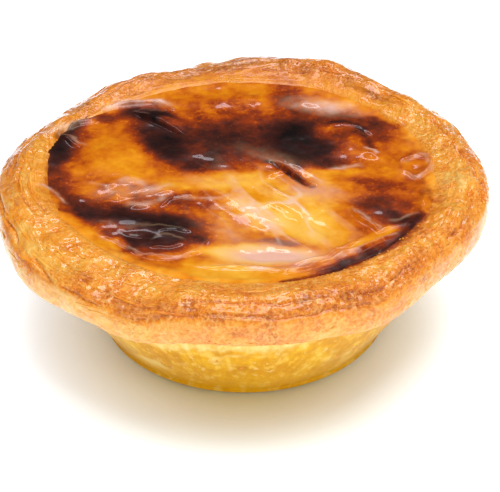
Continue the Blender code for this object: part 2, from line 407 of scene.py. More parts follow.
# Painted highlight ovals: centre x and y, half length, half width, turn, strength
HIGHLIGHT_OVALS = (
    (4.4, 6.4, 5.0, 1.7, -34, 0.16),
    (13.4, 22.4, 5.6, 2.0, -16, 0.62),
    (11.0, -3.6, 4.2, 2.4, -30, 0.35),
    (-1.5, -14.5, 4.6, 3.4, 0, 0.14),
    (4.0, -18.6, 6.0, 2.0, 0, 0.24),
    (-4.0, -1.0, 6.0, 1.6, 0, 0.12),
    (-18.5, -4.6, 5.0, 2.2, 10, 0.25),
)


def painted_highlight_mask(x, y):
    """Where a highlight is painted on the glaze in a pale milky tint, from 0 to 1. Lengths in mm."""
    bent_x = x + 0.7 * noise(x, y, 0, 3.0, 48, 3)
    bent_y = y + 0.7 * noise(x, y, 0, 3.0, 49, 3)
    clear = 1.0
    for half_width, more, path in HIGHLIGHT_STROKES:
        away, side, along = beside_path(bent_x, bent_y, path)
        clear = clear * (1 - more * bell(away / half_width) * tapered(along))
    for *shape, more in HIGHLIGHT_OVALS:
        clear = clear * (1 - more * patch(bent_x, bent_y, shape, 1.6))
    away, side, along = beside_path(bent_x, bent_y, TEAR)
    return (1 - clear) * (1 - 0.9 * bell(away / 0.8) * tapered(along))


CRUST_STARTS = 28.2  # radius in mm


def crust_edge(x, y, browning):
    """Where the custard's edge set as dry crust, like the lip's own, from 0 to 1. Lengths in mm."""
    angle, radius = np.arctan2(y, x), np.hypot(x, y)
    side = facing(angle, 12, 56) + facing(angle, -110, 66)
    inside = smooth_step((radius - CRUST_STARTS + 1.4 * noise(x, y, 0, 4, 50, 3)) / 3.2)
    return np.clip(side, 0, 1) * inside * (1 - smooth_step((browning - 0.46) / 0.2))


def custard_browning(x, y):
    """How brown the custard's skin is, from 0, pale, through 0.4, gold, to 1, black. Lengths in mm."""
    bent_x = x + 0.8 * noise(x, y, 0, 5.0, 41, 2) + 0.10 * noise(x, y, 0, 0.9, 42)
    bent_y = y + 0.8 * noise(x, y, 0, 5.0, 43, 2) + 0.10 * noise(x, y, 0, 0.9, 44)
    left = 1.0
    for *shape, more in BURNT_OVALS:
        left = left * (1 - more * patch(bent_x, bent_y, shape, 1.4))
    for half_width, more, path in BURNT_STROKES:
        away, side, along = beside_path(bent_x, bent_y, path)
        left = left * (1 - more * bell(away / half_width))
    gold = 0.425 + 0.12 * noise(x, y, 0, 8, 45) + 0.12 * noise(x, y, 0, 2.4, 46, 3)
    browning = gold + (1 - gold) * (1 - left)
    for *shape, less in PALE_OVALS:
        browning = browning * (1 - less * patch(bent_x, bent_y, shape, 0.8))
    halfway = smooth_step((browning - 0.42) / 0.1) * smooth_step((0.95 - browning) / 0.15)
    return np.clip(browning + 0.045 * halfway * noise(x, y, 0, 1.6, 47, 3), 0, 1)


# %% [markdown]
# ## The lip: leaves of rolled dough
#
# Puff pastry is a stack of leaves. On the lip their edges show as long thin ridges that follow the rim, part
# and meet again. Noise that is stretched along the rim makes them: where it crosses zero there is a sharp
# fold, and between two folds a rounded leaf. The ring is one closed surface, and its hidden side runs inside
# the cup wall.

# %% The lip's section
LIP_AROUND = 780
LIP_VISIBLE = 108
lip_visible_points = (
    (WALL_TOP_RADIUS - 1.2 * MM, LIP_UNDERSIDE - 0.4 * MM),
    (WALL_TOP_RADIUS + 1.2 * MM, LIP_UNDERSIDE - 0.5 * MM),
    (RIM_RADIUS - 1.4 * MM, LIP_UNDERSIDE),
    (RIM_RADIUS - 0.2 * MM, LIP_UNDERSIDE + 1.8 * MM),
    (RIM_RADIUS - 0.2 * MM, LIP_UNDERSIDE + 4.9 * MM),
    (RIM_RADIUS - 1.7 * MM, CREST_HEIGHT - 0.9 * MM),
    (RIM_RADIUS - 4.0 * MM, CREST_HEIGHT),
    (RIM_RADIUS - 7.0 * MM, CREST_HEIGHT - 0.6 * MM),
    (CUSTARD_RADIUS, CUSTARD_LEVEL + 0.3 * MM),
    (CUSTARD_RADIUS - 1.0 * MM, CUSTARD_LEVEL - 1.4 * MM),
)
lip_hidden_points = (
    (CUSTARD_RADIUS - 0.4 * MM, CUSTARD_LEVEL - 3.0 * MM),
    (WALL_TOP_RADIUS - 2.6 * MM, LIP_UNDERSIDE + 0.8 * MM),
)


def length_at(points, number):
    """Length along a section's smooth curve, in mm, up to one of its own points."""
    dense = smooth_path(points, 24)
    steps = np.hypot(*np.diff(dense, axis=0).T)
    return steps[: number * 24].sum() / MM


# Lengths along the section, in mm, that the looks refer to
AT_SHOULDER, AT_BROW, AT_CREST, AT_INNER, AT_CUSTARD = (
    length_at(lip_visible_points, number) for number in range(4, 9)
)
print("along the lip, mm:", [round(v, 1) for v in (AT_SHOULDER, AT_BROW, AT_CREST, AT_INNER, AT_CUSTARD)])

# %% Creases and holes in the lip
# Each crease: direction in degrees at its start and at its end, length along the section at each, half
# width and depth in mm
LIP_CREASES = (
    (234, 308, AT_SHOULDER + 0.6, AT_SHOULDER + 0.5, 0.34, 0.42),
    (248, 292, AT_BROW + 0.6, AT_BROW + 0.9, 0.30, 0.30),
    (186, 196, AT_SHOULDER + 1.3, AT_SHOULDER + 0.9, 0.26, 0.60),
    (195, 208, AT_SHOULDER + 0.8, AT_SHOULDER + 0.4, 0.30, 0.75),
    (214, 224, AT_BROW, AT_SHOULDER + 0.9, 0.42, 0.60),
    (224, 238, AT_SHOULDER + 0.8, AT_SHOULDER + 0.5, 0.34, 0.50),
    (168, 204, AT_CREST - 0.5, AT_CREST + 0.9, 0.36, 0.42),
    (180, 203, AT_INNER - 1.0, AT_INNER - 0.6, 0.30, 0.34),
    (150, 182, AT_BROW + 0.4, AT_BROW + 0.9, 0.30, 0.36),
    (5, 14, AT_CREST - 0.4, AT_CREST, 0.45, 0.60),
    (16, 30, AT_CREST - 0.2, AT_CREST + 0.4, 0.34, 0.50),
    (36, 60, AT_INNER - 1.2, AT_INNER - 0.6, 0.34, 0.44),
    (296, 306, AT_BROW + 0.3, AT_BROW + 0.4, 0.34, 0.60),
    (306, 316, AT_BROW + 0.9, AT_BROW + 0.5, 0.28, 0.45),
    (318, 336, AT_CREST + 0.4, AT_CREST + 0.8, 0.34, 0.55),
    (326, 352, AT_BROW + 0.2, AT_BROW + 0.5, 0.30, 0.50),
    (70, 100, AT_CREST + 0.6, AT_CREST + 0.3, 0.30, 0.30),
    (112, 140, AT_CREST, AT_CREST + 0.6, 0.34, 0.34),
)
# Each torn hole: direction, length along the section, half length, half width and depth in mm
LIP_HOLES = (
    (10, AT_CREST - 0.6, 1.3, 0.55, 1.0),
    (3, AT_CREST - 1.6, 0.8, 0.40, 0.7),
    (350, AT_CREST - 1.0, 1.7, 0.60, 1.0),
    (339, AT_CREST + 1.0, 1.3, 0.42, 0.8),
    (356, AT_BROW - 0.5, 0.9, 0.35, 0.6),
    (25, AT_BROW + 0.3, 0.8, 0.34, 0.6),
    (200, AT_SHOULDER - 0.5, 1.0, 0.35, 0.6),
)
# Stretches where the leaves broke into grains: direction, half width, length along the section, half length
LIP_GRAINS = (
    (213, 7, AT_SHOULDER + 0.5, 1.8),
    (232, 9, AT_SHOULDER + 0.8, 1.0),
    (300, 9, AT_BROW + 0.5, 1.6),
    (352, 12, AT_BROW - 0.2, 2.2),
    (318, 10, AT_BROW - 0.5, 1.6),
    (70, 10, AT_CREST + 1.0, 1.8),
)
# Stretches where the leaves lie open: direction, half width, length along the section, half length, how far
LIP_LAYERED = (
    (262, 38, AT_SHOULDER + 2.8, 3.0, 0.50),
    (305, 22, AT_BROW + 0.6, 3.0, 0.40),
    (338, 16, AT_BROW + 0.8, 2.4, 0.35),
    (195, 18, AT_SHOULDER + 1.0, 1.8, 0.45),
    (184, 26, AT_CREST + 0.8, 3.4, 0.55),
    (100, 45, AT_CREST - 0.5, 4.0, 0.35),
    (48, 18, AT_CREST + 1.5, 3.0, 0.45),
    (222, 24, AT_CREST + 1.0, 4.0, 0.38),
    (270, 60, AT_SHOULDER - 1.8, 1.8, -0.30),
)


# %% The surface of the lip
def leaf(value, fold_width):
    """0 in a fold, where the noise crosses zero, rising to 1 on the leaf beside it."""
    return np.clip(np.abs(value) / fold_width, 0, 1) ** 0.7


def stretch(angle, s, direction, half_width, at, half_length):
    """1 in the middle of a stretch of the lip, falling softly round the rim and along the section."""
    away = turn_between(angle, radians(direction)) / radians(half_width)
    return bell(np.hypot(away, (s - at) / half_length))


def custard_film(angle, s):
    """Where custard boiled over the lip's inner slope: widest on the right and the far side."""
    x, y = ring_place(angle)
    reach = 1.2 + 2.4 * facing(angle, 5, 55)
    reach = reach + 2.4 * facing(angle, 95, 42)
    reach = reach + 1.4 * facing(angle, 175, 30)
    near = facing(angle, 245, 38)
    reach = reach + 1.8 * near + 1.6 * noise(x, y, s, 4, 24, 3)
    return smooth_step((s - (AT_CUSTARD - reach)) / (1.8 + 2.4 * near))


def layered(angle, s):
    """Where the leaves' edges are open, from 0 to 1; elsewhere the crust is closed and bubbly."""
    x, y = ring_place(angle)
    share = 0.10 + 0.55 * noise(x, y, s * 2.5, 6, 16, 2)
    for *where, more in LIP_LAYERED:
        share = share + more * stretch(angle, s, *where)
    return np.clip(share, 0, 1)


def lip_relief(angle, s, top, face):
    """How far the lip's skin stands out, in mm, with masks of its folds, grains, open leaves and crumbs.

    It also gives the length along the section after the leaves' drift, which the finish follows."""
    x, y = ring_place(angle)
    drift = 1.3 * noise(x, y, 0.2 * s, 12, 3) + 0.6 * noise(x, y, s, 3.4, 4)
    across = s + drift
    broad = noise(x, y, across * 9 / 1.3, 9, 11)
    fine = noise(x, y, across * 5 / 0.65, 5, 12)
    open_leaves = layered(angle, s)
    strength = open_leaves * (top + face * (0.22 + 0.5 * smooth_step(np.sin(angle) + 0.7)))
    relief = strength * (0.26 * leaf(broad, 0.5) + 0.13 * leaf(fine, 0.45) - 0.24)
    fold = 0.7 * strength * np.maximum(1 - leaf(broad, 0.16), 0.6 * (1 - leaf(fine, 0.14)))
    far = smooth_step(np.sin(angle) * 1.6 - 0.3)
    left = facing(angle, 182, 28)
    smooth = 0.5 * facing(angle, 222, 24)
    smooth = smooth + 0.6 * facing(angle, 345, 16)
    smooth = np.clip(smooth + far + left, 0, 1)
    bare = 1 - custard_film(angle, s)
    closed = (1 - open_leaves) * (top + 0.6 * face) * bare * (1 - 0.5 * smooth)
    puffs, small_puffs = noise(x, y, s, 2.7, 19, 2), noise(x, y, s, 1.15, 20, 2)
    relief += closed * (0.22 * leaf(puffs, 0.45) + 0.13 * leaf(small_puffs, 0.45) - 0.21)
    dips = np.maximum(0.6 * (1 - leaf(puffs, 0.2)), 0.45 * (1 - leaf(small_puffs, 0.3)))
    fold = np.maximum(fold, closed * dips)
    dry = (top + 0.4 * face) * (1 - 0.7 * custard_film(angle, s))
    lumps = (0.26 + 0.22 * far) * noise(x, y, s, 6, 13)
    relief += dry * (lumps + (0.15 + 0.16 * far) * noise(x, y, s, 3.2, 17))
    relief += (0.75 + 0.25 * top) * bare * (0.10 - 0.05 * smooth) * noise(x, y, s, 0.95, 14, 2)
    for start, end, s_start, s_end, half_width, depth in LIP_CREASES:
        middle, half = radians((start + end) / 2), radians((end - start) / 2)
        along = turn_between(angle, middle) / half
        line = s_start + (s_end - s_start) * (along + 1) / 2 + 0.25 * noise(x, y, 0, 3, 18)
        near = bell((across - line) / half_width) * smooth_step(2.5 * (1 - np.abs(along)))
        relief -= 0.7 * depth * near
        fold = np.maximum(fold, near)
    for direction, at, half_length, half_width, depth in LIP_HOLES:
        away = turn_between(angle, radians(direction)) * RING_RADIUS / half_length
        near = bell(np.hypot(away, (s - at) / half_width))
        relief -= depth * near
        fold = np.maximum(fold, near)
    grain = 0.30 * np.maximum(top, 0.7 * face) * (1 - 0.8 * smooth)
    for where in LIP_GRAINS:
        grain = np.maximum(grain, stretch(angle, s, *where))
    relief += grain * 0.20 * noise(x, y, s, 0.7, 15, 2)
    relief *= 1 - 0.85 * smooth_step((s - AT_CUSTARD + 1.8) / 1.6)
    relief -= 0.55 * facing(angle, 157, 9) * smooth_step((s - AT_INNER) / 2)
    crumbly = np.clip(0.75 + 0.5 * noise(x, y, s, 5, 25, 2) - 0.5 * smooth, 0.15, 1)
    crumbly = (0.75 + 0.25 * top) * crumbly
    return relief, fold, grain, across, open_leaves, crumbly


def lip_grid():
    """Points of the lip's ring and the attributes that its finish reads."""
    visible = even_curve(lip_visible_points, LIP_VISIBLE)
    section = np.vstack([visible, lip_hidden_points])
    run = np.concatenate([[0], np.cumsum(np.hypot(*np.diff(section, axis=0).T))]) / MM
    slope = np.gradient(section, axis=0)
    slope /= np.hypot(*slope.T)[:, None]
    normal = np.column_stack([slope[:, 1], -slope[:, 0]])
    angle = np.linspace(0, 2 * pi, LIP_AROUND, endpoint=False)[:, None]
    s = run[None, :] + 0 * angle
    radius, height = section[:, 0][None, :] + 0 * angle, section[:, 1][None, :] + 0 * angle
    angles = angle + 0 * s

    shown = smooth_step((s - 1.2) / 1.0) * smooth_step((AT_CUSTARD + 1.4 - s) / 0.8)
    top = smooth_step((s - AT_SHOULDER - 0.2) / 1.0) * shown
    face = smooth_step((s - 2.4) / 1.2) * (1 - smooth_step((s - AT_SHOULDER - 0.2) / 1.0))
    relief, fold, grain, across, open_leaves, crumbly = lip_relief(angles, s, top, face)
    relief = relief * shown

    push, lift = lip_push(angle)
    reach = smooth_step((radius - CUSTARD_RADIUS) / (RIM_RADIUS - 3 * MM - CUSTARD_RADIUS))
    rise = smooth_step((height - 0.6 * LIP_UNDERSIDE) / (0.4 * LIP_UNDERSIDE))
    moved = radius + push * reach + opening_push(radius, height, angles) * smooth_step((s - AT_SHOULDER) / 2)
    moved = moved + relief * MM * normal[:, 0]
    raised = height + rise * reach * lift + relief * MM * normal[:, 1]
    points = np.stack([moved * np.cos(angles), moved * np.sin(angles), raised], -1)
    dough = np.stack([*ring_place(angles), across], -1)
    return points, angles, s, fold, grain, dough, open_leaves, crumbly


# %% Browning of the lip
# Toasted patches: direction, half width, length along the section, half length, added browning
LIP_TOASTED = (
    (92, 11, AT_CREST + 0.8, 2.2, 0.30),
    (80, 9, AT_BROW + 0.8, 2.0, 0.24),
    (104, 8, AT_INNER, 2.0, 0.25),
    (214, 7, AT_SHOULDER + 0.4, 1.0, 0.26),
    (228, 10, AT_SHOULDER + 0.3, 0.7, 0.16),
    (203, 8, AT_SHOULDER + 0.6, 1.0, 0.22),
    (186, 9, AT_CREST - 0.5, 1.4, 0.12),
    (270, 40, AT_SHOULDER + 1.2, 1.0, 0.10),
    (300, 12, AT_BROW + 0.4, 1.6, 0.14),
    (322, 20, AT_INNER + 0.6, 2.2, 0.18),
    (345, 22, AT_CREST, 3.0, -0.06),
    (5, 34, AT_INNER + 1.0, 3.4, -0.10),
    (270, 22, AT_CUSTARD - 1.5, 2.2, -0.10),
    (218, 30, AT_BROW + 1.5, 3.8, -0.13),
    (180, 26, AT_CREST, 4.0, -0.07),
    (100, 42, AT_CREST + 1.0, 4.0, 0.32),
    (90, 40, AT_INNER + 0.6, 2.6, 0.28),
    (134, 28, AT_CREST, 4.0, 0.12),
    (56, 18, AT_CREST, 4.0, 0.16),
    (272, 46, AT_SHOULDER + 2.0, 3.2, 0.20),
    (306, 24, AT_BROW + 1.0, 2.4, 0.07),
    (10, 40, AT_CREST + 0.5, 3.4, -0.06),
    (24, 16, AT_CREST, 2.0, 0.24),
    (250, 15, AT_BROW + 0.2, 1.1, 0.15),
    (284, 15, AT_BROW + 1.2, 1.0, 0.14),
    (231, 9, AT_CREST - 0.6, 1.1, 0.13),
    (296, 10, AT_CREST + 0.6, 1.0, 0.10),
    (52, 14, AT_INNER - 0.8, 1.6, 0.20),
    (160, 22, AT_BROW - 0.5, 3.6, 0.24),
)
# Pale stretches of the lip's outer face: direction, half width, lightening
LIP_PALE = ((236, 26, 0.14), (270, 30, 0.03), (315, 22, 0.05), (350, 20, 0.10), (190, 20, 0.06))


def lip_toast(angle, s, fold, grain):
    """How brown the lip is, from 0, pale dough, to 1, burnt, with a painted shade in its folds."""
    x, y = ring_place(angle)
    outer = 1 - smooth_step((s - AT_SHOULDER + 0.8) / 2.6)
    toast = 0.44 - 0.02 * outer + 0.12 * noise(x, y, s * 1.5, 7, 21) + 0.15 * noise(x, y, s, 2.4, 22, 3)
    for *where, more in LIP_TOASTED:
        toast = toast + more * stretch(angle, s, *where)
    for direction, half_width, less in LIP_PALE:
        toast = toast - less * outer * facing(angle, direction, half_width)
    # Folds, creases and holes are browned darker: a painted shade
    toast = toast + 0.19 * fold + 0.05 * grain
    return np.clip(toast, 0, 1)


def lip_butter(angle, s):
    """How wet the lip is with butter and syrup: most on the far side and beside the custard."""
    top = smooth_step((s - AT_SHOULDER) / 1.5)
    far = smooth_step((np.sin(angle) + 0.25) / 0.9)
    left = facing(angle, 190, 28)
    inner = smooth_step((s - AT_INNER) / 1.5)
    x, y = ring_place(angle)
    wet = top * (0.25 + 0.75 * far + 0.3 * left) + 0.4 * inner
    return np.clip(wet + 0.25 * noise(x, y, s, 3, 23), 0, 1)


def lip_matt(angle, s):
    """Where the lip dried dull: on the far side, and most on the slope that runs down to the custard."""
    far = facing(angle, 95, 62)
    return far * (0.12 + 0.88 * smooth_step((s - AT_CREST - 0.8) / 1.8))


points, angles, s, fold, grain, dough, open_leaves, crumbly = lip_grid()
browning = custard_browning(points[..., 0] / MM, points[..., 1] / MM)
crust = crust_edge(points[..., 0] / MM, points[..., 1] / MM, browning)
lip = turned_mesh(
    "pastry_lip",
    points,
    [
        ("toast", lip_toast(angles, s, fold, grain)),
        ("butter", lip_butter(angles, s)),
        ("matt", lip_matt(angles, s)),
        ("grain", grain),
        ("layers", open_leaves),
        ("crumbly", crumbly),
        ("film", custard_film(angles, s) * (1 - crust)),
        ("browning", browning),
        # painted highlights in a pale milky tint, carried onto the lip
        ("painted_highlight", painted_highlight_mask(points[..., 0] / MM, points[..., 1] / MM)),
        ("dough", dough),
    ],
)

# %% [markdown]
# ## The cup: tapered wall and flat base
#
# The dough was pressed against a smooth tin, so the wall is even, greasy and yellow, with faint upright
# pleats. A paler skin of dough hangs down from the lip and ends in a ragged edge. The base keeps the spiral
# of the rolled dough. The cup is a closed solid with a real inside wall, which the custard then fills.

# %% The surface of the cup
CUP_AROUND = 620
# Where the pale skin hangs lower or higher: direction, half width, change of its edge's height in mm
SKIN_EDGE = (
    (246, 14, -2.0),
    (270, 10, 0.6),
    (298, 20, 2.6),
    (330, 20, 1.0),
    (20, 25, 1.0),
    (90, 30, -2.0),
    (160, 26, -1.0),
)


def cup_section():
    """Radius and height from the middle of the base out, up the wall, over its top and down to the floor."""
    flat = BASE_RADIUS - BASE_CORNER
    base = [(flat * share, 0.0) for share in np.linspace(0.03, 1, 46)]
    bends = np.radians(np.linspace(8, 60, 8))
    corner = [(flat + BASE_CORNER * sin(bend), BASE_CORNER * (1 - cos(bend))) for bend in bends]
    heights = np.linspace(corner[-1][1], LIP_UNDERSIDE + 0.6 * MM, 78)[1:]
    wall = [(wall_bulge(height), height) for height in heights]
    top_radius, top_height = wall[-1]
    inside = [(top_radius - PASTRY_THICKNESS, top_height)]
    for share in (0.8, 0.5, 0.25):
        inside.append((wall_bulge(share * top_height) - PASTRY_THICKNESS, share * top_height))
    inside.append((flat, PASTRY_THICKNESS))
    inside.append((flat * 0.4, PASTRY_THICKNESS))
    return np.array(base + corner + wall + inside), len(base), len(base) + len(corner) + len(wall)


def cup_grid():
    """Points of the cup and the attributes that its finish reads."""
    section, base_end, wall_end = cup_section()
    slope = np.gradient(section, axis=0)
    slope /= np.hypot(*slope.T)[:, None]
    normal = np.column_stack([slope[:, 1], -slope[:, 0]])
    angle = np.linspace(0, 2 * pi, CUP_AROUND, endpoint=False)[:, None]
    step = np.arange(len(section))[None, :] + 0 * angle.astype(int)
    radius, height = section[:, 0][None, :] + 0 * angle, section[:, 1][None, :] + 0 * angle
    angles = angle + 0 * radius
    x, y = ring_place(angles, 30)
    up = height / MM

    edge = 13.4 + 1.0 * noise(x, y, 0, 9, 31) + 0.8 * noise(x, y, 0, 2.2, 32, 2)
    for direction, half_width, change in SKIN_EDGE:
        edge = edge + change * facing(angles, direction, half_width)
    skin = smooth_step((up - edge) / 2.0 + 0.3 * noise(x, y, up * 0.5, 1.2, 40, 2))
    curl = bell((up - edge - 0.4) / 0.4)
    pleat = noise(x, y, up * 0.12, 2.0, 33) + 0.6 * noise(x, y, up * 0.2, 0.9, 34)
    broad = noise(x, y, up * 0.8, 7, 35)
    on_wall = ((step >= base_end) & (step < wall_end)) * smooth_step(up / 2.2)
    relief = on_wall * (0.10 * skin + 0.07 * curl + 0.05 * pleat + 0.16 * broad - 0.12)
    under = (step < base_end) * smooth_step((BASE_RADIUS - 2.6 * MM - radius) / (1 * MM))
    turns = radius / MM / 2.3 - angles / (2 * pi) + 0.15 * noise(x, y, 0, 12, 36)
    groove = np.abs(np.sin(pi * turns)) ** 0.5
    flat_x, flat_y = radius / MM * np.cos(angles), radius / MM * np.sin(angles)
    hollow = under * (0.10 + 0.22 * (1 - groove) + 0.08 * noise(flat_x, flat_y, 0, 1.3, 37, 2))

    moved = radius + relief * MM * normal[:, 0]
    raised = height + relief * MM * normal[:, 1] + hollow * MM
    points = np.stack([moved * np.cos(angles), moved * np.sin(angles), raised], -1)
    spots = smooth_step(1.6 * noise(x, y, up, 3.2, 38) + 0.4 * noise(x, y, up, 1.0, 39) - 0.1)
    toast = 0.30 + 0.10 * broad + 0.28 * smooth_step((3.0 - up) / 3.0) * (0.5 + 0.5 * spots)
    toast = toast + 0.16 * under * (1 - groove)
    flecks = on_wall * spots * (1 - skin) * smooth_step((edge - up) / 1.0) * smooth_step((up - 3) / 3)
    poles = np.array([(0, 0, 0.1 * MM), (0, 0, PASTRY_THICKNESS)])
    return points, poles, np.clip(toast, 0, 1), skin * on_wall, flecks


points, poles, toast, skin, flecks = cup_grid()
cup = turned_mesh("pastry_cup", points, [("toast", toast), ("skin", skin), ("flecks", flecks)], poles)

# %% [markdown]
# ## The custard: a skin that blistered and burnt
#
# The custard boiled, rose, browned and sank again. That left dark glossy patches where it touched the heat,
# bubbles that never burst, and a pale skin that wrinkled as the middle fell. Its shape is drawn like its
# browning: ovals for blisters and hollows, long strokes for folds.

# %% How the custard rose and sank
# Blisters and hollows: centre x and y, half length, half width, turn in degrees, height; all in mm
CUSTARD_SWELLINGS = (
    (-22.0, 5.0, 9.0, 6.5, 80, 0.7),
    (-14.5, 18.5, 5.5, 3.2, -25, 0.6),
    (-4.0, 10.0, 8.0, 6.0, 0, 0.5),
    (8.5, 11.0, 7.0, 5.0, 90, 0.5),
    (17.0, 11.0, 4.2, 3.0, 100, 0.5),
    (27.5, 3.0, 3.2, 2.4, 60, 0.8),
    (22.5, -8.0, 5.5, 4.0, 60, 0.3),
    (-16.0, -14.5, 9.0, 4.5, -20, 0.35),
    (7.4, 4.2, 5.6, 2.2, -38, 0.5),
    (4.0, -15.0, 10.0, 7.0, -10, -0.8),
    (0.0, 25.0, 9.0, 4.0, 0, 0.4),
)
# Fine blisters and dimples, which the solid model leaves out
SMALL_SWELLINGS = (
    (28.3, 2.6, 1.5, 1.1, 20, -0.9),
    (-16.5, -17.6, 3.0, 1.0, -8, -0.35),
    (-26.5, -6.6, 1.8, 1.1, -20, 0.35),
    (-20.4, -6.0, 0.9, 1.4, 0, 0.40),
    (-16.6, -8.8, 2.0, 1.0, 10, 0.35),
    (-22.0, -3.0, 2.2, 1.0, 30, 0.30),
    (-12.5, -4.0, 3.0, 2.2, 0, 0.35),
    (20.8, 7.2, 1.3, 1.9, 40, 0.35),
    (5.5, 1.5, 2.6, 1.0, 30, 0.25),
    (11.5, 23.5, 2.4, 1.2, -20, 0.35),
    (-26.0, 13.5, 2.6, 1.2, 40, 0.45),
    (-30.6, 12.6, 1.6, 0.8, 60, 0.40),
)
# The raised edge of the torn blister on the right
TORN_BLISTER = ((25.2, 3.0), (26.4, 5.0), (29.4, 6.6), (30.6, 4.6), (30.0, 1.4), (27.8, -0.2), (25.2, 3.0))
# Folds: half width, height (negative for a groove), then the points of the fold
CUSTARD_FOLDS = (
    (0.34, -0.42, ((-19.5, 20.0), (-15.0, 16.6), (-9.6, 12.2))),
    (0.36, 0.18, ((-19.5, 20.8), (-14.6, 17.5), (-9.2, 12.9))),
    (0.45, -0.50, TEAR),
    (0.40, 0.35, ((4.6, 5.2), (8.0, 1.2), (12.0, -3.0))),
    (0.55, -0.20, ((13.4, 7.0), (13.2, 12.0), (15.2, 15.6), (18.8, 15.8), (21.0, 12.6), (20.8, 8.6))),
    (0.36, 0.30, ((-8.0, -25.0), (0.0, -25.9), (6.0, -26.8), (9.4, -25.4), (12.4, -22.6))),
    (0.55, 0.60, ((4.0, -28.6), (12.0, -24.8), (20.0, -20.2), (26.0, -15.6))),
    (0.50, 0.24, ((8.0, -28.2), (14.0, -25.6), (19.6, -22.0), (24.6, -17.4))),
    (0.36, 0.30, ((6.0, -25.6), (12.8, -22.2), (19.6, -17.6))),
    (0.50, 0.42, ((16.6, -8.0), (19.0, -12.2), (21.8, -16.6))),
    (0.40, 0.36, ((20.8, -15.8), (23.6, -14.6), (27.0, -14.2))),
    (0.45, 0.40, ((28.6, -4.0), (28.8, -7.0), (28.4, -9.4))),
    (0.40, 0.55, TORN_BLISTER),
    (0.40, 0.34, ((-33.0, 12.6), (-30.0, 11.6), (-26.4, 8.4))),
    (0.50, 0.65, ((-30.4, 14.2), (-28.0, 16.4), (-24.2, 18.0))),
    (0.55, 0.75, ((-24.0, 21.2), (-19.6, 23.2), (-15.0, 23.4), (-10.6, 20.0))),
    (0.34, 0.26, ((-13.6, -9.4), (-11.0, -6.4), (-7.4, -5.4))),
    (0.45, 0.22, ((-14.0, -16.2), (-11.0, -15.8), (-7.6, -16.6))),
    (0.40, 0.18, ((-15.2, -20.0), (-11.6, -20.4), (-8.6, -19.2))),
)
# The terrace at the lower left: the burnt skin ends in a low step down to the lighter custard beyond it
TERRACE = (
    (-25.0, -15.4),
    (-20.4, -18.4),
    (-16.0, -22.4),
    (-11.6, -23.6),
    (-7.2, -21.8),
    (-5.2, -18.0),
    (-3.4, -15.0),
)
TERRACE_DROP = 0.26
# The hollow where liquid gathered, the wrinkled skin round it, and the finer wrinkles at the lower left:
# centre x and y, half length, half width, turn
POOL = (4.6, -22.5, 7.0, 2.5, -3)
WRINKLED = (5.5, -9.5, 13.0, 9.0, -50)
LOWER_LEFT = (-19, -5, 7, 4.5, 10)
WRINKLE_RUN = -54  # direction in degrees that the wrinkles follow
# The crack along the near right edge
CRACK = ((7.5, -30.2), (12.6, -28.0), (17.4, -25.0), (22.2, -21.4), (27.0, -16.4))


def wrinkles(x, y, run, length, width, seed):
    """Long low ridges that run one way, with sharp crests between rounded hollows."""
    c, s = cos(radians(run)), sin(radians(run))
    along, across = x * c + y * s, y * c - x * s
    bent = across + 0.8 * noise(x, y, 0, 5, seed + 1)
    return 1 - np.abs(noise(along, bent * length / width, 0, length, seed)) * 2.2


def custard_relief(x, y, radius):
    """Height of the custard's skin above its level, in mm, with masks of its pool, its wrinkled skin and
    the crests of the wrinkles, along which a highlight is painted."""
    height = np.zeros(x.shape)
    for *shape, rise in CUSTARD_SWELLINGS + SMALL_SWELLINGS:
        height += rise * oval(x, y, *shape)
    edge = smooth_step((radius / (CUSTARD_RADIUS / MM) - 0.80) / 0.20)
    height *= 1 - edge
    bent_x = x + 0.5 * noise(x, y, 0, 3.5, 51, 2)
    bent_y = y + 0.5 * noise(x, y, 0, 3.5, 52, 2)
    for half_width, rise, path in CUSTARD_FOLDS:
        away, side, along = beside_path(bent_x, bent_y, path)
        height += rise * bell(away / half_width) * tapered(along)
    away, side, along = beside_path(bent_x, bent_y, TERRACE)
    step = smooth_step(0.5 + side * away / 0.7) - 0.5
    height += TERRACE_DROP * step * bell(away / 3.2) * tapered(along)
    away, side, along = beside_path(bent_x, bent_y, CRACK)
    height -= 0.30 * bell(away / 1.2) * tapered(along)
    pool = np.clip(1.5 * oval(bent_x, bent_y, *POOL), 0, 1)
    wrinkled = oval(x, y, *WRINKLED)
    rough = 1 - 0.85 * pool
    crests = wrinkles(x, y, WRINKLE_RUN, 8.0, 2.1, 53)
    height += 0.20 * wrinkled * rough * crests
    height += 0.02 * wrinkled * rough * wrinkles(x, y, WRINKLE_RUN + 8, 6.0, 0.8, 55)
    height += 0.09 * oval(x, y, *LOWER_LEFT) * wrinkles(x, y, 20, 5.0, 1.5, 57)
    near = smooth_step((-y - 18) / 8) * smooth_step((radius - 22) / 5)
    turn = np.arctan2(y, x)
    height += 0.06 * near * wrinkles(turn * 28, radius, 0, 14.0, 0.9, 59)
    uneven = 0.22 * noise(x, y, 0, 8, 61) + 0.10 * noise(x, y, 0, 2.8, 62) + 0.03 * noise(x, y, 0, 1.0, 63)
    height += rough * uneven
    height -= 0.30 * pool
    far = smooth_step(np.sin(turn) * 1.6 - 0.3)
    height += (0.42 - 0.22 * far) * smooth_step((radius - 27.6) / 3.4)
    return height, pool, wrinkled, wrinkled * (1 - pool) * smooth_step((crests - 0.55) / 0.4)


# %% The custard's surface
CUSTARD_AROUND = 560
CUSTARD_RINGS = 150


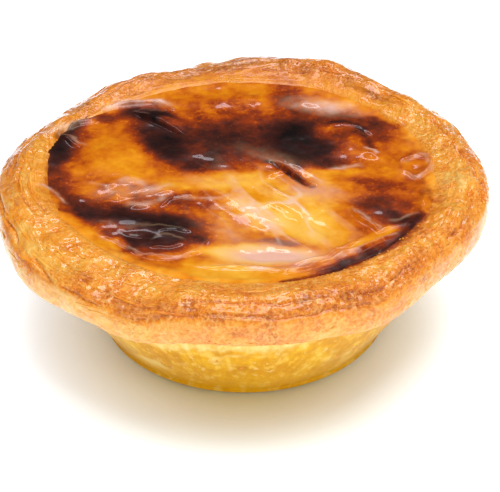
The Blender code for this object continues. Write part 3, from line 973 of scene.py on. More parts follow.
def custard_grid():
    """Points of the filling, from its underside out, up and over its skin, with the skin's attributes."""
    edge = CUSTARD_RADIUS + 1.2 * MM
    floor = PASTRY_THICKNESS + 0.3 * MM
    inner = BASE_RADIUS - BASE_CORNER - 0.5 * MM
    below = [(inner * 0.5, floor), (inner, floor)]
    for share in (0.35, 0.6, 0.8):
        height = share * LIP_UNDERSIDE
        below.append((wall_bulge(height) - PASTRY_THICKNESS - 0.3 * MM, height))
    below.append((CUSTARD_RADIUS - 0.7 * MM, CUSTARD_LEVEL - 3.6 * MM))
    below.append((CUSTARD_RADIUS - 0.3 * MM, CUSTARD_LEVEL - 1.6 * MM))
    skin = [(edge * share, CUSTARD_LEVEL) for share in np.linspace(1, 0.006, CUSTARD_RINGS)]
    section = np.array(below + skin)
    angle = np.linspace(0, 2 * pi, CUSTARD_AROUND, endpoint=False)[:, None]
    radius, height = section[:, 0][None, :] + 0 * angle, section[:, 1][None, :] + 0 * angle
    angles = angle + 0 * radius
    moved = radius + opening_push(radius, height, angles)
    x, y = moved / MM * np.cos(angles), moved / MM * np.sin(angles)
    relief, pool, wrinkled, crests = custard_relief(x, y, radius / MM)
    on_top = smooth_step((height - CUSTARD_LEVEL + 1.5 * MM) / (1.5 * MM))
    raised = height + relief * MM * on_top
    points = np.stack([x * MM, y * MM, raised], -1)
    middle = points[:, -1, 2].mean()
    poles = np.array([(0, 0, floor), (0, 0, middle)])
    # Painted highlights: the milky tint of the strokes, and more of it along the crests of the wrinkles
    painted_highlight = 1 - (1 - painted_highlight_mask(x, y)) * (1 - 0.7 * crests)
    away, side, along = beside_path(x, y, CRESCENT)
    matt = bell(away / 3.2)
    browning = custard_browning(x, y)
    toast = lip_toast(angles, AT_CUSTARD + 0 * angles, 0, 0)
    return points, poles, browning, pool, wrinkled, painted_highlight, crust_edge(x, y, browning), toast, matt


points, poles, browning, pool, wrinkled, painted_highlight, crust, toast, matt = custard_grid()
custard = turned_mesh(
    "custard_filling",
    points,
    [
        ("browning", browning),
        ("pool", pool),
        ("wrinkled", wrinkled),
        ("painted_highlight", painted_highlight),
        ("crust", crust),
        ("toast", toast),
        ("matt", matt),
    ],
    poles,
)

# %% [markdown]
# ## A short way to write node trees
#
# A node tree in Python is long: each node is added, set up and linked in its own lines. This helper does all
# three in one call. A value that is a socket becomes a link, and any other value fills the socket.


# %% Adding nodes
class Nodes:
    """Adds nodes to one tree."""

    def __init__(self, tree):
        self.tree = tree

    def add(self, kind, inputs=None, **settings):
        node = self.tree.nodes.new(kind)
        for name, value in settings.items():
            setattr(node, name, value)
        for key, value in (inputs or {}).items():
            if isinstance(value, bpy.types.NodeSocket):
                self.tree.links.new(value, node.inputs[key])
            else:
                node.inputs[key].default_value = value
        return node

    def math(self, operation, first, second=0.0, clamp=False):
        settings = {"operation": operation, "use_clamp": clamp}
        return self.add("ShaderNodeMath", {0: first, 1: second}, **settings).outputs[0]

    def plus(self, first, second, clamp=False):
        return self.math("ADD", first, second, clamp)

    def minus(self, first, second, clamp=False):
        return self.math("SUBTRACT", first, second, clamp)

    def times(self, first, second, clamp=False):
        return self.math("MULTIPLY", first, second, clamp)

    def spread(self, value, low, high, to_low=0.0, to_high=1.0):
        """Maps low..high to to_low..to_high, and holds it there."""
        inputs = {"Value": value, "From Min": low, "From Max": high, "To Min": to_low, "To Max": to_high}
        return self.add("ShaderNodeMapRange", inputs, clamp=True).outputs[0]

    def mix(self, share, first, second):
        """A colour between two colours."""
        node = self.add("ShaderNodeMix", {0: share, 6: first, 7: second}, data_type="RGBA")
        return node.outputs[2]

    def noise(self, vector, scale, detail=2.0, roughness=0.5):
        inputs = {"Vector": vector, "Scale": scale, "Detail": detail, "Roughness": roughness}
        return self.add("ShaderNodeTexNoise", inputs).outputs["Fac"]

    def place(self):
        """Where a point lies on its piece, in metres."""
        return self.add("ShaderNodeTexCoord").outputs["Object"]

    def scaled(self, vector, scale):
        """Coordinates with a scale of their own along each axis."""
        return self.add("ShaderNodeMapping", {"Vector": vector, "Scale": scale}).outputs[0]

    def vector(self, operation, inputs):
        return self.add("ShaderNodeVectorMath", inputs, operation=operation).outputs[0]

    def bump(self, height, strength, distance):
        """A normal that a fine relief has bent."""
        inputs = {"Strength": strength, "Distance": distance, "Height": height}
        return self.add("ShaderNodeBump", inputs).outputs["Normal"]

    def stored(self, name, output="Fac"):
        """An attribute of the mesh, in a material."""
        return self.add("ShaderNodeAttribute", attribute_name=name).outputs[output]

    def ramp(self, value, stops):
        """A colour ramp; stops are (place, red, green, blue)."""
        node = self.add("ShaderNodeValToRGB", {"Fac": value})
        points = node.color_ramp.elements
        while len(points) < len(stops):
            points.new(0.5)
        for point, (place, *colour) in zip(points, stops):
            point.position = place
            point.color = (*colour, 1)
        return node.outputs["Color"]


def arrange(tree):
    """Places the nodes in columns from left to right, so that the tree can be read in Blender."""
    depth = {node: 0 for node in tree.nodes}
    for _ in tree.nodes:
        for link in tree.links:
            depth[link.to_node] = max(depth[link.to_node], depth[link.from_node] + 1)
    rows = {}
    for node in tree.nodes:
        column = depth[node]
        node.location = (240 * column, -260 * rows.get(column, 0))
        rows[column] = rows.get(column, 0) + 1


# %% [markdown]
# ## What the browned dough shares
#
# The lip, the cup and the loose flakes are one dough, and the custard boiled over the lip. So four effects
# are used by more than one material, and each is a node group: how dough turns from cream to brown as it
# bakes, how custard burns, the fine dry grain of a crust, and the mottling that keeps any stretch from having
# one flat colour. The shader itself stays in each material.


# %% Shared node groups
def shader_group(name, inputs, outputs):
    """An empty shader group with named sockets: (label, socket type, value) and (label, socket type)."""
    tree = bpy.data.node_groups.new(name, "ShaderNodeTree")
    for label, kind, value in inputs:
        socket = tree.interface.new_socket(label, in_out="INPUT", socket_type=kind)
        socket.default_value = value
    for label, kind in outputs:
        tree.interface.new_socket(label, in_out="OUTPUT", socket_type=kind)
    nodes = Nodes(tree)
    return tree, nodes, nodes.add("NodeGroupInput"), nodes.add("NodeGroupOutput")


# Place on the ramp, then red, green and blue, from pale dough to burnt
DOUGH_COLOURS = (
    (0.00, 0.95, 0.56, 0.13),
    (0.20, 0.94, 0.43, 0.050),
    (0.40, 0.91, 0.32, 0.015),
    (0.58, 0.80, 0.22, 0.004),
    (0.76, 0.60, 0.140, 0.003),
    (1.00, 0.38, 0.072, 0.003),
)
FLOAT, COLOUR = "NodeSocketFloat", "NodeSocketColor"

dough_browning, nodes, entry, out = shader_group(
    "dough browning", [("Toast", FLOAT, 0.4)], [("Colour", COLOUR)]
)
browned = nodes.ramp(entry.outputs["Toast"], DOUGH_COLOURS)
nodes.tree.links.new(browned, out.inputs["Colour"])
arrange(dough_browning)

# Place on the ramp, then red, green and blue, from pale set custard to burnt sugar
CUSTARD_COLOURS = (
    (0.00, 0.90, 0.56, 0.12),
    (0.16, 0.86, 0.43, 0.035),
    (0.29, 0.77, 0.275, 0.004),
    (0.40, 0.63, 0.160, 0.001),
    (0.50, 0.47, 0.086, 0.001),
    (0.60, 0.29, 0.036, 0.002),
    (0.72, 0.150, 0.021, 0.005),
    (0.85, 0.052, 0.010, 0.006),
    (1.00, 0.006, 0.003, 0.003),
)
custard_tint, nodes, entry, out = shader_group(
    "custard tint", [("Browning", FLOAT, 0.4)], [("Colour", COLOUR)]
)
nodes.tree.links.new(nodes.ramp(entry.outputs["Browning"], CUSTARD_COLOURS), out.inputs["Colour"])
arrange(custard_tint)

mottling, nodes, entry, out = shader_group(
    "mottling", [("Size", FLOAT, 3.0)], [("Mottle", FLOAT), ("Speckle", FLOAT)]
)
place = nodes.place()
broad_scale = nodes.math("DIVIDE", 1000.0, entry.outputs["Size"])
broad = nodes.noise(place, broad_scale, 3.0, 0.55)
speckle = nodes.noise(place, nodes.times(broad_scale, 5.0), 3.0, 0.6)
nodes.tree.links.new(nodes.spread(broad, 0.3, 0.7, -1.0, 1.0), out.inputs["Mottle"])
nodes.tree.links.new(nodes.spread(speckle, 0.48, 0.66), out.inputs["Speckle"])
arrange(mottling)

crust_grain, nodes, entry, out = shader_group("crust grain", [("Scale", FLOAT, 1800.0)], [("Height", FLOAT)])
place = nodes.place()
grit = nodes.noise(place, entry.outputs["Scale"], 3.0, 0.6)
inputs = {"Vector": place, "Scale": nodes.times(entry.outputs["Scale"], 0.55)}
cells = nodes.add("ShaderNodeTexVoronoi", inputs).outputs["Distance"]
height = nodes.plus(nodes.times(grit, 0.7), nodes.times(cells, 0.3))
nodes.tree.links.new(height, out.inputs["Height"])
arrange(crust_grain)


# %% Starting a material
def new_material(name):
    """A material with an empty node tree, its Principled BSDF and its output."""
    material = bpy.data.materials.new(name)
    material.use_nodes = True
    material.node_tree.nodes.clear()
    nodes = Nodes(material.node_tree)
    shader = nodes.add("ShaderNodeBsdfPrincipled")
    nodes.add("ShaderNodeOutputMaterial", {"Surface": shader.outputs["BSDF"]})
    return material, nodes, shader


def wire(nodes, shader, **inputs):
    """Links or fills the shader's sockets; an underscore stands for a space in a socket's name."""
    for name, value in inputs.items():
        socket = shader.inputs[name.replace("_", " ")]
        if isinstance(value, bpy.types.NodeSocket):
            nodes.tree.links.new(value, socket)
        else:
            socket.default_value = value


def grouped(nodes, tree, **inputs):
    """A shared node group inside a material."""
    return nodes.add("ShaderNodeGroup", inputs, node_tree=tree)


# %% [markdown]
# ## The lip's finish
#
# Its colour follows the browning that was worked out with its shape, and its folds, creases and holes are
# darker, a painted shade. Between the modelled leaves there are far thinner ones. They are a bump: noise read
# on the dough's own coordinates, which run along the rim, and squeezed across it. Where the custard boiled
# over, its own colour lies on the dough, with painted highlights in a pale milky tint. Butter makes the rest
# golden, and dry grains are creamy. A wet coat covers it all, least on the dry outer face and on the far
# slope, which dried dull.

# %% Lip material
HIGHLIGHT_ON_LIP = (0.86, 0.66, 0.56, 1)
GOLDEN_BUTTER = (0.76, 0.275, 0.010, 1)
CREAMY_GRAINS = (0.96, 0.60, 0.20, 1)

lip_finish, nodes, shader = new_material("flaky_buttered_lip")
mottle = grouped(nodes, mottling, Size=3.0)
layers = nodes.stored("layers")
dough = nodes.stored("dough", "Vector")
lines = nodes.scaled(dough, (0.5, 0.5, 3.2))
hairs = nodes.spread(nodes.noise(lines, 1.0, 3.0, 0.6), 0.3, 0.7)
sheets = nodes.scaled(dough, (0.3, 0.3, 1.5))
sheets = nodes.spread(nodes.noise(sheets, 1.0, 2.0, 0.5), 0.3, 0.7)
stripes = nodes.plus(nodes.times(hairs, 0.5), nodes.times(sheets, 0.5))
striped = nodes.times(nodes.minus(0.5, stripes), layers)
toast = nodes.plus(nodes.stored("toast"), nodes.times(mottle.outputs["Mottle"], 0.10))
grain = grouped(nodes, crust_grain, Scale=2300.0).outputs["Height"]
toast = nodes.plus(toast, nodes.times(striped, 0.50))
crumbly = nodes.stored("crumbly")
toast = nodes.plus(toast, nodes.times(crumbly, nodes.spread(grain, 0.36, 0.60, 0.10, -0.13)))
speckled = nodes.times(nodes.times(mottle.outputs["Speckle"], crumbly), 0.20)
toast = nodes.minus(toast, speckled, clamp=True)
colour = grouped(nodes, dough_browning, Toast=toast).outputs["Colour"]
film = nodes.stored("film")
boiled = nodes.spread(nodes.stored("browning"), 0.2, 1.0, 0.2, 0.76)
boiled = nodes.plus(boiled, nodes.times(mottle.outputs["Mottle"], 0.06))
boiled = nodes.plus(boiled, nodes.spread(grain, 0.36, 0.60, 0.04, -0.05), clamp=True)
glaze = grouped(nodes, custard_tint, Browning=boiled).outputs["Colour"]
colour = nodes.mix(film, colour, glaze)
# Painted highlights: a pale milky tint where the glaze would catch the light
colour = nodes.mix(nodes.stored("painted_highlight"), colour, HIGHLIGHT_ON_LIP)
butter = nodes.stored("butter")
golden = nodes.spread(mottle.outputs["Mottle"], -1.0, 0.6, 0.50, 0.10)
golden = nodes.times(nodes.spread(butter, 0.45, 1.0), golden)
colour = nodes.mix(golden, colour, GOLDEN_BUTTER)
creamy = nodes.spread(mottle.outputs["Mottle"], -0.8, 0.8, 0.15, 0.85)
creamy = nodes.times(nodes.spread(grain, 0.47, 0.60), creamy)
creamy = nodes.times(creamy, nodes.spread(film, 0.0, 1.0, 0.45, 0.0))
colour = nodes.mix(creamy, colour, CREAMY_GRAINS)
height = nodes.times(nodes.times(stripes, layers), 1.2)
rough = nodes.times(nodes.spread(film, 0.0, 1.0, 1.0, 0.45), nodes.spread(crumbly, 0.0, 1.0, 0.8, 2.1))
height = nodes.plus(height, nodes.times(grain, rough))
bump = nodes.bump(height, 0.9, 0.3 * MM)
matt = nodes.stored("matt")
wet = nodes.times(nodes.spread(film, 0.0, 1.0, 0.9, 0.55), nodes.spread(butter, 0.0, 0.3, 0.4, 1.0))
wire(
    nodes,
    shader,
    Base_Color=colour,
    Roughness=nodes.plus(nodes.spread(butter, 0.1, 0.9, 0.36, 0.24), nodes.times(matt, 0.20)),
    Coat_Weight=nodes.times(wet, nodes.spread(matt, 0.0, 1.0, 1.0, 0.35)),
    Coat_Roughness=0.05,
    Specular_IOR_Level=0.40,
    Normal=bump,
)
arrange(nodes.tree)
lip.data.materials.append(lip_finish)

# %% [markdown]
# ## The cup's finish
#
# Dough that fried in butter against metal is smooth, waxy and yellow, a little clearer where it is thin. The
# paler, drier skin above it has an edge of its own. Faint streaks run up the wall, drawn by noise that is
# stretched along Z.

# %% Cup material
# Place on the ramp, then red, green and blue, of the waxy wall
WALL_COLOURS = (
    (0.34, 0.60, 0.245, 0.0),
    (0.45, 0.70, 0.30, 0.001),
    (0.56, 0.81, 0.40, 0.003),
    (0.68, 0.90, 0.55, 0.05),
)
FOOT_YELLOW = (0.86, 0.43, 0.002, 1)
PALE_STREAK = (0.92, 0.62, 0.14, 1)
PALE_MARK_AND_GLINT = (0.94, 0.70, 0.28, 1)
SKIN_TINTS = ((0.86, 0.51, 0.11, 1), (0.94, 0.68, 0.25, 1))
FLECK_TINT = (0.90, 0.60, 0.17, 1)

cup_finish, nodes, shader = new_material("buttery_cup_wall")
place = nodes.place()
upright = nodes.scaled(place, (1.0, 1.0, 0.16))
streaks = nodes.noise(upright, 640.0, 3.0, 0.6)
clouds = nodes.noise(place, 150.0, 3.0, 0.55)
skin = nodes.stored("skin")
flecks = nodes.stored("flecks")
clear = nodes.ramp(nodes.plus(nodes.times(streaks, 0.5), nodes.times(clouds, 0.5)), WALL_COLOURS)
toast = nodes.stored("toast")
toasted = grouped(nodes, dough_browning, Toast=nodes.plus(toast, 0.24)).outputs["Colour"]
clear = nodes.mix(nodes.spread(toast, 0.36, 0.75, 0.0, 0.75), clear, toasted)
foot = nodes.spread(nodes.add("ShaderNodeSeparateXYZ", {0: place}).outputs["Z"], 9 * MM, 1 * MM)
clear = nodes.mix(nodes.times(foot, 0.6), clear, FOOT_YELLOW)
# Pale ragged marks on the wall: flecks of dry skin, partly painted glints
marks_and_glints = nodes.scaled(place, (1.0, 1.0, 0.4))
marks_and_glints = nodes.spread(nodes.noise(marks_and_glints, 760.0, 4.0, 0.65), 0.60, 0.66)
marks_and_glints = nodes.times(marks_and_glints, nodes.spread(foot, 0.0, 1.0, 0.55, 0.1))
clear = nodes.mix(nodes.times(nodes.spread(streaks, 0.54, 0.64), 0.4), clear, PALE_STREAK)
clear = nodes.mix(marks_and_glints, clear, PALE_MARK_AND_GLINT)
pale = nodes.mix(nodes.spread(streaks, 0.35, 0.65), *SKIN_TINTS)
flecked = nodes.times(flecks, nodes.spread(clouds, 0.42, 0.58), clamp=True)
colour = nodes.mix(flecked, clear, FLECK_TINT)
colour = nodes.mix(nodes.times(skin, nodes.spread(streaks, 0.25, 0.5, 0.6, 0.95)), colour, pale)
grain = grouped(nodes, crust_grain, Scale=1300.0).outputs["Height"]
height = nodes.plus(nodes.times(streaks, 0.6), nodes.times(grain, 0.3))
bump = nodes.bump(height, 0.5, 0.3 * MM)
wire(
    nodes,
    shader,
    Base_Color=colour,
    Roughness=nodes.spread(skin, 0.0, 1.0, 0.40, 0.55),
    Specular_IOR_Level=0.15,
    Coat_Weight=nodes.spread(skin, 0.0, 1.0, 0.22, 0.10),
    Coat_Roughness=0.10,
    Normal=bump,
)
arrange(nodes.tree)
cup.data.materials.append(cup_finish)

# %% [markdown]
# ## The custard's finish
#
# Baked custard is a glossy gel under a thin caramel skin. The ramp goes from the pale set cream through gold
# and amber to the red-brown and the black of burnt sugar. Over it lie the dry crust at the edge, pale smears
# of set skin along the wrinkles with a painted sheen in them, painted highlights in a pale milky tint, and a
# painted pink reflection in the pool. A clear coat gives the wet shine, and it is thin where the skin burnt
# black and on the near right burn, which dried matt.

# %% Custard material
PALE_SMEAR_AND_SHEEN = (0.92, 0.56, 0.16, 1)
HIGHLIGHT_TINTS = ((0.89, 0.54, 0.29, 1), (0.83, 0.68, 0.71, 1))
POOL_REFLECTION_PINK = (0.80, 0.44, 0.40, 1)

custard_finish, nodes, shader = new_material("burnt_custard_skin")
place = nodes.place()
smoke = nodes.noise(place, 300.0, 4.0, 0.6)
mist = nodes.noise(place, 1100.0, 2.0, 0.6)
dots = nodes.spread(nodes.noise(place, 1700.0, 1.0, 0.5), 0.56, 0.70)
browning = nodes.stored("browning")
edge = nodes.times(nodes.spread(browning, 0.40, 0.56), nodes.spread(browning, 0.95, 0.75))
shade = nodes.plus(browning, nodes.times(nodes.spread(smoke, 0.3, 0.7, -0.05, 0.05), edge))
shade = nodes.minus(shade, nodes.times(nodes.times(dots, edge), 0.09))
shade = nodes.plus(shade, nodes.spread(smoke, 0.3, 0.7, -0.05, 0.05))
shade = nodes.plus(shade, nodes.spread(mist, 0.3, 0.7, -0.02, 0.02), clamp=True)
colour = grouped(nodes, custard_tint, Browning=shade).outputs["Colour"]
mottle = grouped(nodes, mottling, Size=3.0)
toast = nodes.plus(nodes.stored("toast"), nodes.times(mottle.outputs["Mottle"], 0.12))
toast = nodes.minus(toast, nodes.times(mottle.outputs["Speckle"], 0.12), clamp=True)
crust_tint = grouped(nodes, dough_browning, Toast=toast).outputs["Colour"]
colour = nodes.mix(nodes.stored("crust"), colour, crust_tint)
wrinkled = nodes.stored("wrinkled")
inputs = {"Vector": place, "Rotation": (0, 0, radians(-WRINKLE_RUN))}
turned = nodes.add("ShaderNodeMapping", inputs).outputs[0]
stretched = nodes.scaled(turned, (0.25, 1.0, 1.0))
# Pale streaks along the wrinkles: pale set skin with a painted sheen in them
smears_and_sheen = nodes.spread(nodes.noise(stretched, 420.0, 4.0, 0.6), 0.46, 0.62)
smears_and_sheen = nodes.times(nodes.times(smears_and_sheen, wrinkled), nodes.spread(browning, 0.42, 0.30))
colour = nodes.mix(nodes.times(smears_and_sheen, 0.5), colour, PALE_SMEAR_AND_SHEEN)
# Painted highlights: a pale pink-white milky tint, broken by noise and weaker on the burnt skin
painted_highlight = nodes.times(nodes.stored("painted_highlight"), nodes.spread(smoke, 0.35, 0.58, 0.35, 1.0))
painted_highlight = nodes.times(painted_highlight, nodes.spread(browning, 0.5, 1.0, 1.0, 0.6))
highlight_tint = nodes.mix(painted_highlight, *HIGHLIGHT_TINTS)
colour = nodes.mix(painted_highlight, colour, highlight_tint)
pool = nodes.stored("pool")
# The pool's pink is a painted reflection on its flat glaze
colour = nodes.mix(nodes.times(pool, 0.8), colour, POOL_REFLECTION_PINK)
glaze = nodes.times(nodes.spread(pool, 0.0, 1.0, 0.6, 0.9), nodes.spread(browning, 0.80, 1.0, 1.0, 0.30))
height = nodes.plus(nodes.times(smoke, 0.6), nodes.times(mist, 0.12))
bump = nodes.bump(height, 0.16, 0.4 * MM)
wire(
    nodes,
    shader,
    Base_Color=colour,
    Roughness=nodes.spread(mist, 0.3, 0.7, 0.26, 0.36),
    Specular_IOR_Level=0.08,
    Coat_Weight=nodes.times(glaze, nodes.spread(nodes.stored("matt"), 0.2, 0.9, 1.0, 0.1)),
    Coat_Roughness=0.08,
    Normal=bump,
)
arrange(nodes.tree)
custard.data.materials.append(custard_finish)

# %% [markdown]
# ## Loose leaves, crumbs and flakes
#
# Some sheets of the dough came away from the lip and lie along it, curled at their edges. Crumbs gather where
# the leaves broke, and thin flakes stick to the cup where the tin's fat lifted them. There are hundreds of
# each, so Geometry Nodes place them: one tree for each kind, with its sizes as inputs and a fixed seed. The
# instances are realized, and the result is kept as a plain mesh.


# %% Geometry trees
def geometry_tree(name, inputs):
    """An empty geometry tree with named inputs: (label, socket type, value)."""
    tree = bpy.data.node_groups.new(name, "GeometryNodeTree")
    for label, kind, value in inputs:
        socket = tree.interface.new_socket(label, in_out="INPUT", socket_type="NodeSocket" + kind)
        if value is not None:
            socket.default_value = value
    tree.interface.new_socket("Geometry", in_out="OUTPUT", socket_type="NodeSocketGeometry")
    nodes = Nodes(tree)
    return tree, nodes, nodes.add("NodeGroupInput").outputs


def finish_tree(nodes, instances, finish):
    """Realizes the instances, gives them their material and ends the tree."""
    real = nodes.add("GeometryNodeRealizeInstances", {"Geometry": instances}).outputs[0]
    smooth = nodes.add("GeometryNodeSetShadeSmooth", {0: real}).outputs[0]
    done = nodes.add("GeometryNodeSetMaterial", {"Geometry": smooth, "Material": finish}).outputs[0]
    nodes.add("NodeGroupOutput", {"Geometry": done})
    arrange(nodes.tree)


def grown_piece(name, tree, values):
    """Runs a geometry tree and keeps the plain mesh that it makes."""
    piece = bpy.data.objects.new(name, bpy.data.meshes.new(name + "_start"))
    bpy.context.scene.collection.objects.link(piece)
    modifier = piece.modifiers.new(name, "NODES")
    modifier.node_group = tree
    for item in tree.interface.items_tree:
        if item.in_out == "INPUT" and item.name in values:
            modifier[item.identifier] = values[item.name]
    seen = piece.evaluated_get(bpy.context.evaluated_depsgraph_get())
    mesh = bpy.data.meshes.new_from_object(seen)
    mesh.name = name
    piece.modifiers.clear()
    piece.data = mesh
    print(f"{name}: {len(mesh.vertices)} points, {sum(len(f.vertices) - 2 for f in mesh.polygons)} triangles")
    return piece


def between(nodes, low, high, seed):
    """A random number for each point or instance."""
    node = nodes.add("FunctionNodeRandomValue", {2: low, 3: high, "Seed": seed}, data_type="FLOAT")
    return node.outputs[1]


def named(nodes, name, kind="FLOAT"):
    """An attribute of the geometry, in a geometry tree."""
    return nodes.add("GeometryNodeInputNamedAttribute", {"Name": name}, data_type=kind).outputs[0]


def store(nodes, geometry, name, value, domain="POINT"):
    inputs = {"Geometry": geometry, "Name": name, "Value": value}
    return nodes.add("GeometryNodeStoreNamedAttribute", inputs, data_type="FLOAT", domain=domain).outputs[0]


# %% Leaves along the lip
# Each leaf starts as a short straight line. It is laid round the rim and thrown against the lip along a ray
# towards the middle of the lip's section, so it lands on the face as well as on the top.
MIDDLE_RADIUS = 35.5 * MM  # middle of the lip's section
MIDDLE_HEIGHT = 24.0 * MM
THROWN_FROM = 14 * MM  # distance from that middle
LAID_RADIUS = 37 * MM
# What differs from leaf to leaf: name, lowest and highest value; angles in radians
LEAF_VARIETY = (
    ("start", 0.0, 2 * pi),
    ("climb", radians(-12), radians(125)),
    ("drift", -0.10, 0.10),
    ("tip", -0.2, 0.15),
    ("tone", -1.0, 1.0),
)

leaf_tree, nodes, entry = geometry_tree(
    "leaves along the lip",
    [
        ("Lip", "Object", None),
        ("Leaves", "Int", 300),
        ("Longest", "Float", 20 * MM),
        ("Widest", "Float", 1.5 * MM),
        ("Seed", "Int", 5),
        ("Finish", "Material", None),
    ],
)
seed = entry["Seed"]
points = nodes.add("GeometryNodePoints", {"Count": entry["Leaves"]}).outputs[0]
for number, (label, low, high) in enumerate(LEAF_VARIETY):
    points = store(nodes, points, label, between(nodes, low, high, nodes.plus(seed, float(number))))
points = store(nodes, points, "length", between(nodes, 2.5 * MM, entry["Longest"], nodes.plus(seed, 11.0)))
points = store(nodes, points, "width", between(nodes, 0.35 * MM, entry["Widest"], nodes.plus(seed, 12.0)))
line = nodes.add("GeometryNodeCurvePrimitiveLine", {"Start": (-0.5, 0, 0), "End": (0.5, 0, 0)}).outputs[0]
line = nodes.add("GeometryNodeResampleCurve", {"Curve": line, "Count": 15}).outputs[0]
lines = nodes.add("GeometryNodeInstanceOnPoints", {"Points": points, "Instance": line}).outputs[0]
lines = nodes.add("GeometryNodeRealizeInstances", {"Geometry": lines}).outputs[0]

at = nodes.add("GeometryNodeInputPosition").outputs[0]
along = nodes.add("ShaderNodeSeparateXYZ", {0: at}).outputs["X"]
lines = store(nodes, lines, "along", along)
place = named(nodes, "along")
turn = nodes.math("DIVIDE", nodes.times(place, named(nodes, "length")), LAID_RADIUS)
turn = nodes.plus(turn, named(nodes, "start"))
climb = nodes.plus(named(nodes, "climb"), nodes.times(place, named(nodes, "drift")))
away = nodes.times(nodes.math("COSINE", climb), THROWN_FROM)
radius = nodes.plus(away, MIDDLE_RADIUS)
height = nodes.plus(nodes.times(nodes.math("SINE", climb), THROWN_FROM), MIDDLE_HEIGHT)
east, north = nodes.math("COSINE", turn), nodes.math("SINE", turn)
inputs = {0: nodes.times(east, radius), 1: nodes.times(north, radius), 2: height}
outside = nodes.add("ShaderNodeCombineXYZ", inputs).outputs[0]
inputs = {0: nodes.times(east, MIDDLE_RADIUS), 1: nodes.times(north, MIDDLE_RADIUS), 2: MIDDLE_HEIGHT}
middle = nodes.add("ShaderNodeCombineXYZ", inputs).outputs[0]
inward = nodes.vector("SUBTRACT", {0: middle, 1: outside})
target = nodes.add("GeometryNodeObjectInfo", {"Object": entry["Lip"]}).outputs["Geometry"]
inputs = {"Target Geometry": target, "Attribute": named(nodes, "toast"), "Source Position": outside}
inputs.update({"Ray Direction": inward, "Ray Length": 20 * MM})
ray = nodes.add("GeometryNodeRaycast", inputs).outputs
lines = store(nodes, lines, "toast", ray["Attribute"])
sunk = nodes.vector("SCALE", {0: ray["Hit Normal"], "Scale": 0.03 * MM})
landed = nodes.vector("ADD", {0: ray["Hit Position"], 1: sunk})
lines = nodes.add("GeometryNodeSetPosition", {"Geometry": lines, "Position": landed}).outputs[0]
inputs = {0: lines, "Normal": ray["Hit Normal"]}
lines = nodes.add("GeometryNodeSetCurveNormal", inputs, mode="FREE").outputs[0]
lines = nodes.add("GeometryNodeSetCurveTilt", {"Curve": lines, "Tilt": named(nodes, "tip")}).outputs[0]
share = nodes.add("GeometryNodeSplineParameter").outputs["Factor"]
taper = nodes.times(nodes.times(share, 4.0), nodes.minus(1.0, share))
taper = nodes.plus(nodes.math("POWER", taper, 0.6), 0.06)
size = nodes.times(taper, named(nodes, "width"))
profile = nodes.add("GeometryNodeCurvePrimitiveCircle", {"Resolution": 6, "Radius": 0.5}).outputs[0]
profile = nodes.add("GeometryNodeTransform", {"Geometry": profile, "Scale": (0.13, 1.0, 1.0)}).outputs[0]
inputs = {"Curve": lines, "Profile Curve": profile, "Scale": size, "Fill Caps": True}
strips = nodes.add("GeometryNodeCurveToMesh", inputs).outputs[0]
finish_tree(nodes, strips, entry["Finish"])

# %% Crumbs and flakes thrown on a surface
# One tree serves both: it scatters thin grains where an attribute of the surface is high, lies them along the
# surface, and lets each keep the browning of the place where it fell.
scatter_tree, nodes, entry = geometry_tree(
    "flakes on a surface",
    [
        ("Surface", "Object", None),
        ("Where", "String", "grain"),
        ("Density", "Float", 1.0),
        ("Smallest", "Float", 0.2 * MM),
        ("Largest", "Float", 0.6 * MM),
        ("Thickness", "Float", 0.4),
        ("Stretch", "Float", 1.4),
        ("Seed", "Int", 3),
        ("Finish", "Material", None),
    ],
)
ground = nodes.add("GeometryNodeObjectInfo", {"Object": entry["Surface"]}).outputs["Geometry"]
here = named(nodes, entry["Where"])
density = nodes.times(nodes.spread(here, 0.15, 0.8), entry["Density"])
seed = entry["Seed"]
inputs = {"Mesh": ground, "Density": density, "Seed": seed}
spots = nodes.add("GeometryNodeDistributePointsOnFaces", inputs).outputs
points = store(nodes, spots["Points"], "tone", between(nodes, -1.0, 1.0, nodes.plus(seed, 1.0)))
size = between(nodes, entry["Smallest"], entry["Largest"], nodes.plus(seed, 2.0))
grain = nodes.add("GeometryNodeMeshIcoSphere", {"Radius": 1.0, "Subdivisions": 1}).outputs[0]
wobble = nodes.add("ShaderNodeTexNoise", {"Scale": 1.3, "Detail": 1.0}).outputs["Color"]
centred = nodes.vector("SUBTRACT", {0: wobble, 1: (0.5, 0.5, 0.5)})
grain = nodes.add("GeometryNodeSetPosition", {"Geometry": grain, "Offset": centred}).outputs[0]
flat = nodes.add("ShaderNodeCombineXYZ", {0: 1.0, 1: entry["Stretch"], 2: entry["Thickness"]}).outputs[0]
grain = nodes.add("GeometryNodeTransform", {"Geometry": grain, "Scale": flat}).outputs[0]
limits = {0: (-0.3, -0.3, -3.1), 1: (0.3, 0.3, 3.1)}
lean = nodes.add("FunctionNodeRandomValue", limits, data_type="FLOAT_VECTOR").outputs[0]
lean = nodes.add("FunctionNodeEulerToRotation", {0: lean}).outputs[0]
inputs = {"Rotation": spots["Rotation"], "Rotate By": lean}
turned = nodes.add("FunctionNodeRotateRotation", inputs, rotation_space="LOCAL").outputs[0]
inputs = {"Points": points, "Instance": grain, "Rotation": turned, "Scale": size}
flakes = nodes.add("GeometryNodeInstanceOnPoints", inputs).outputs[0]
finish_tree(nodes, flakes, entry["Finish"])

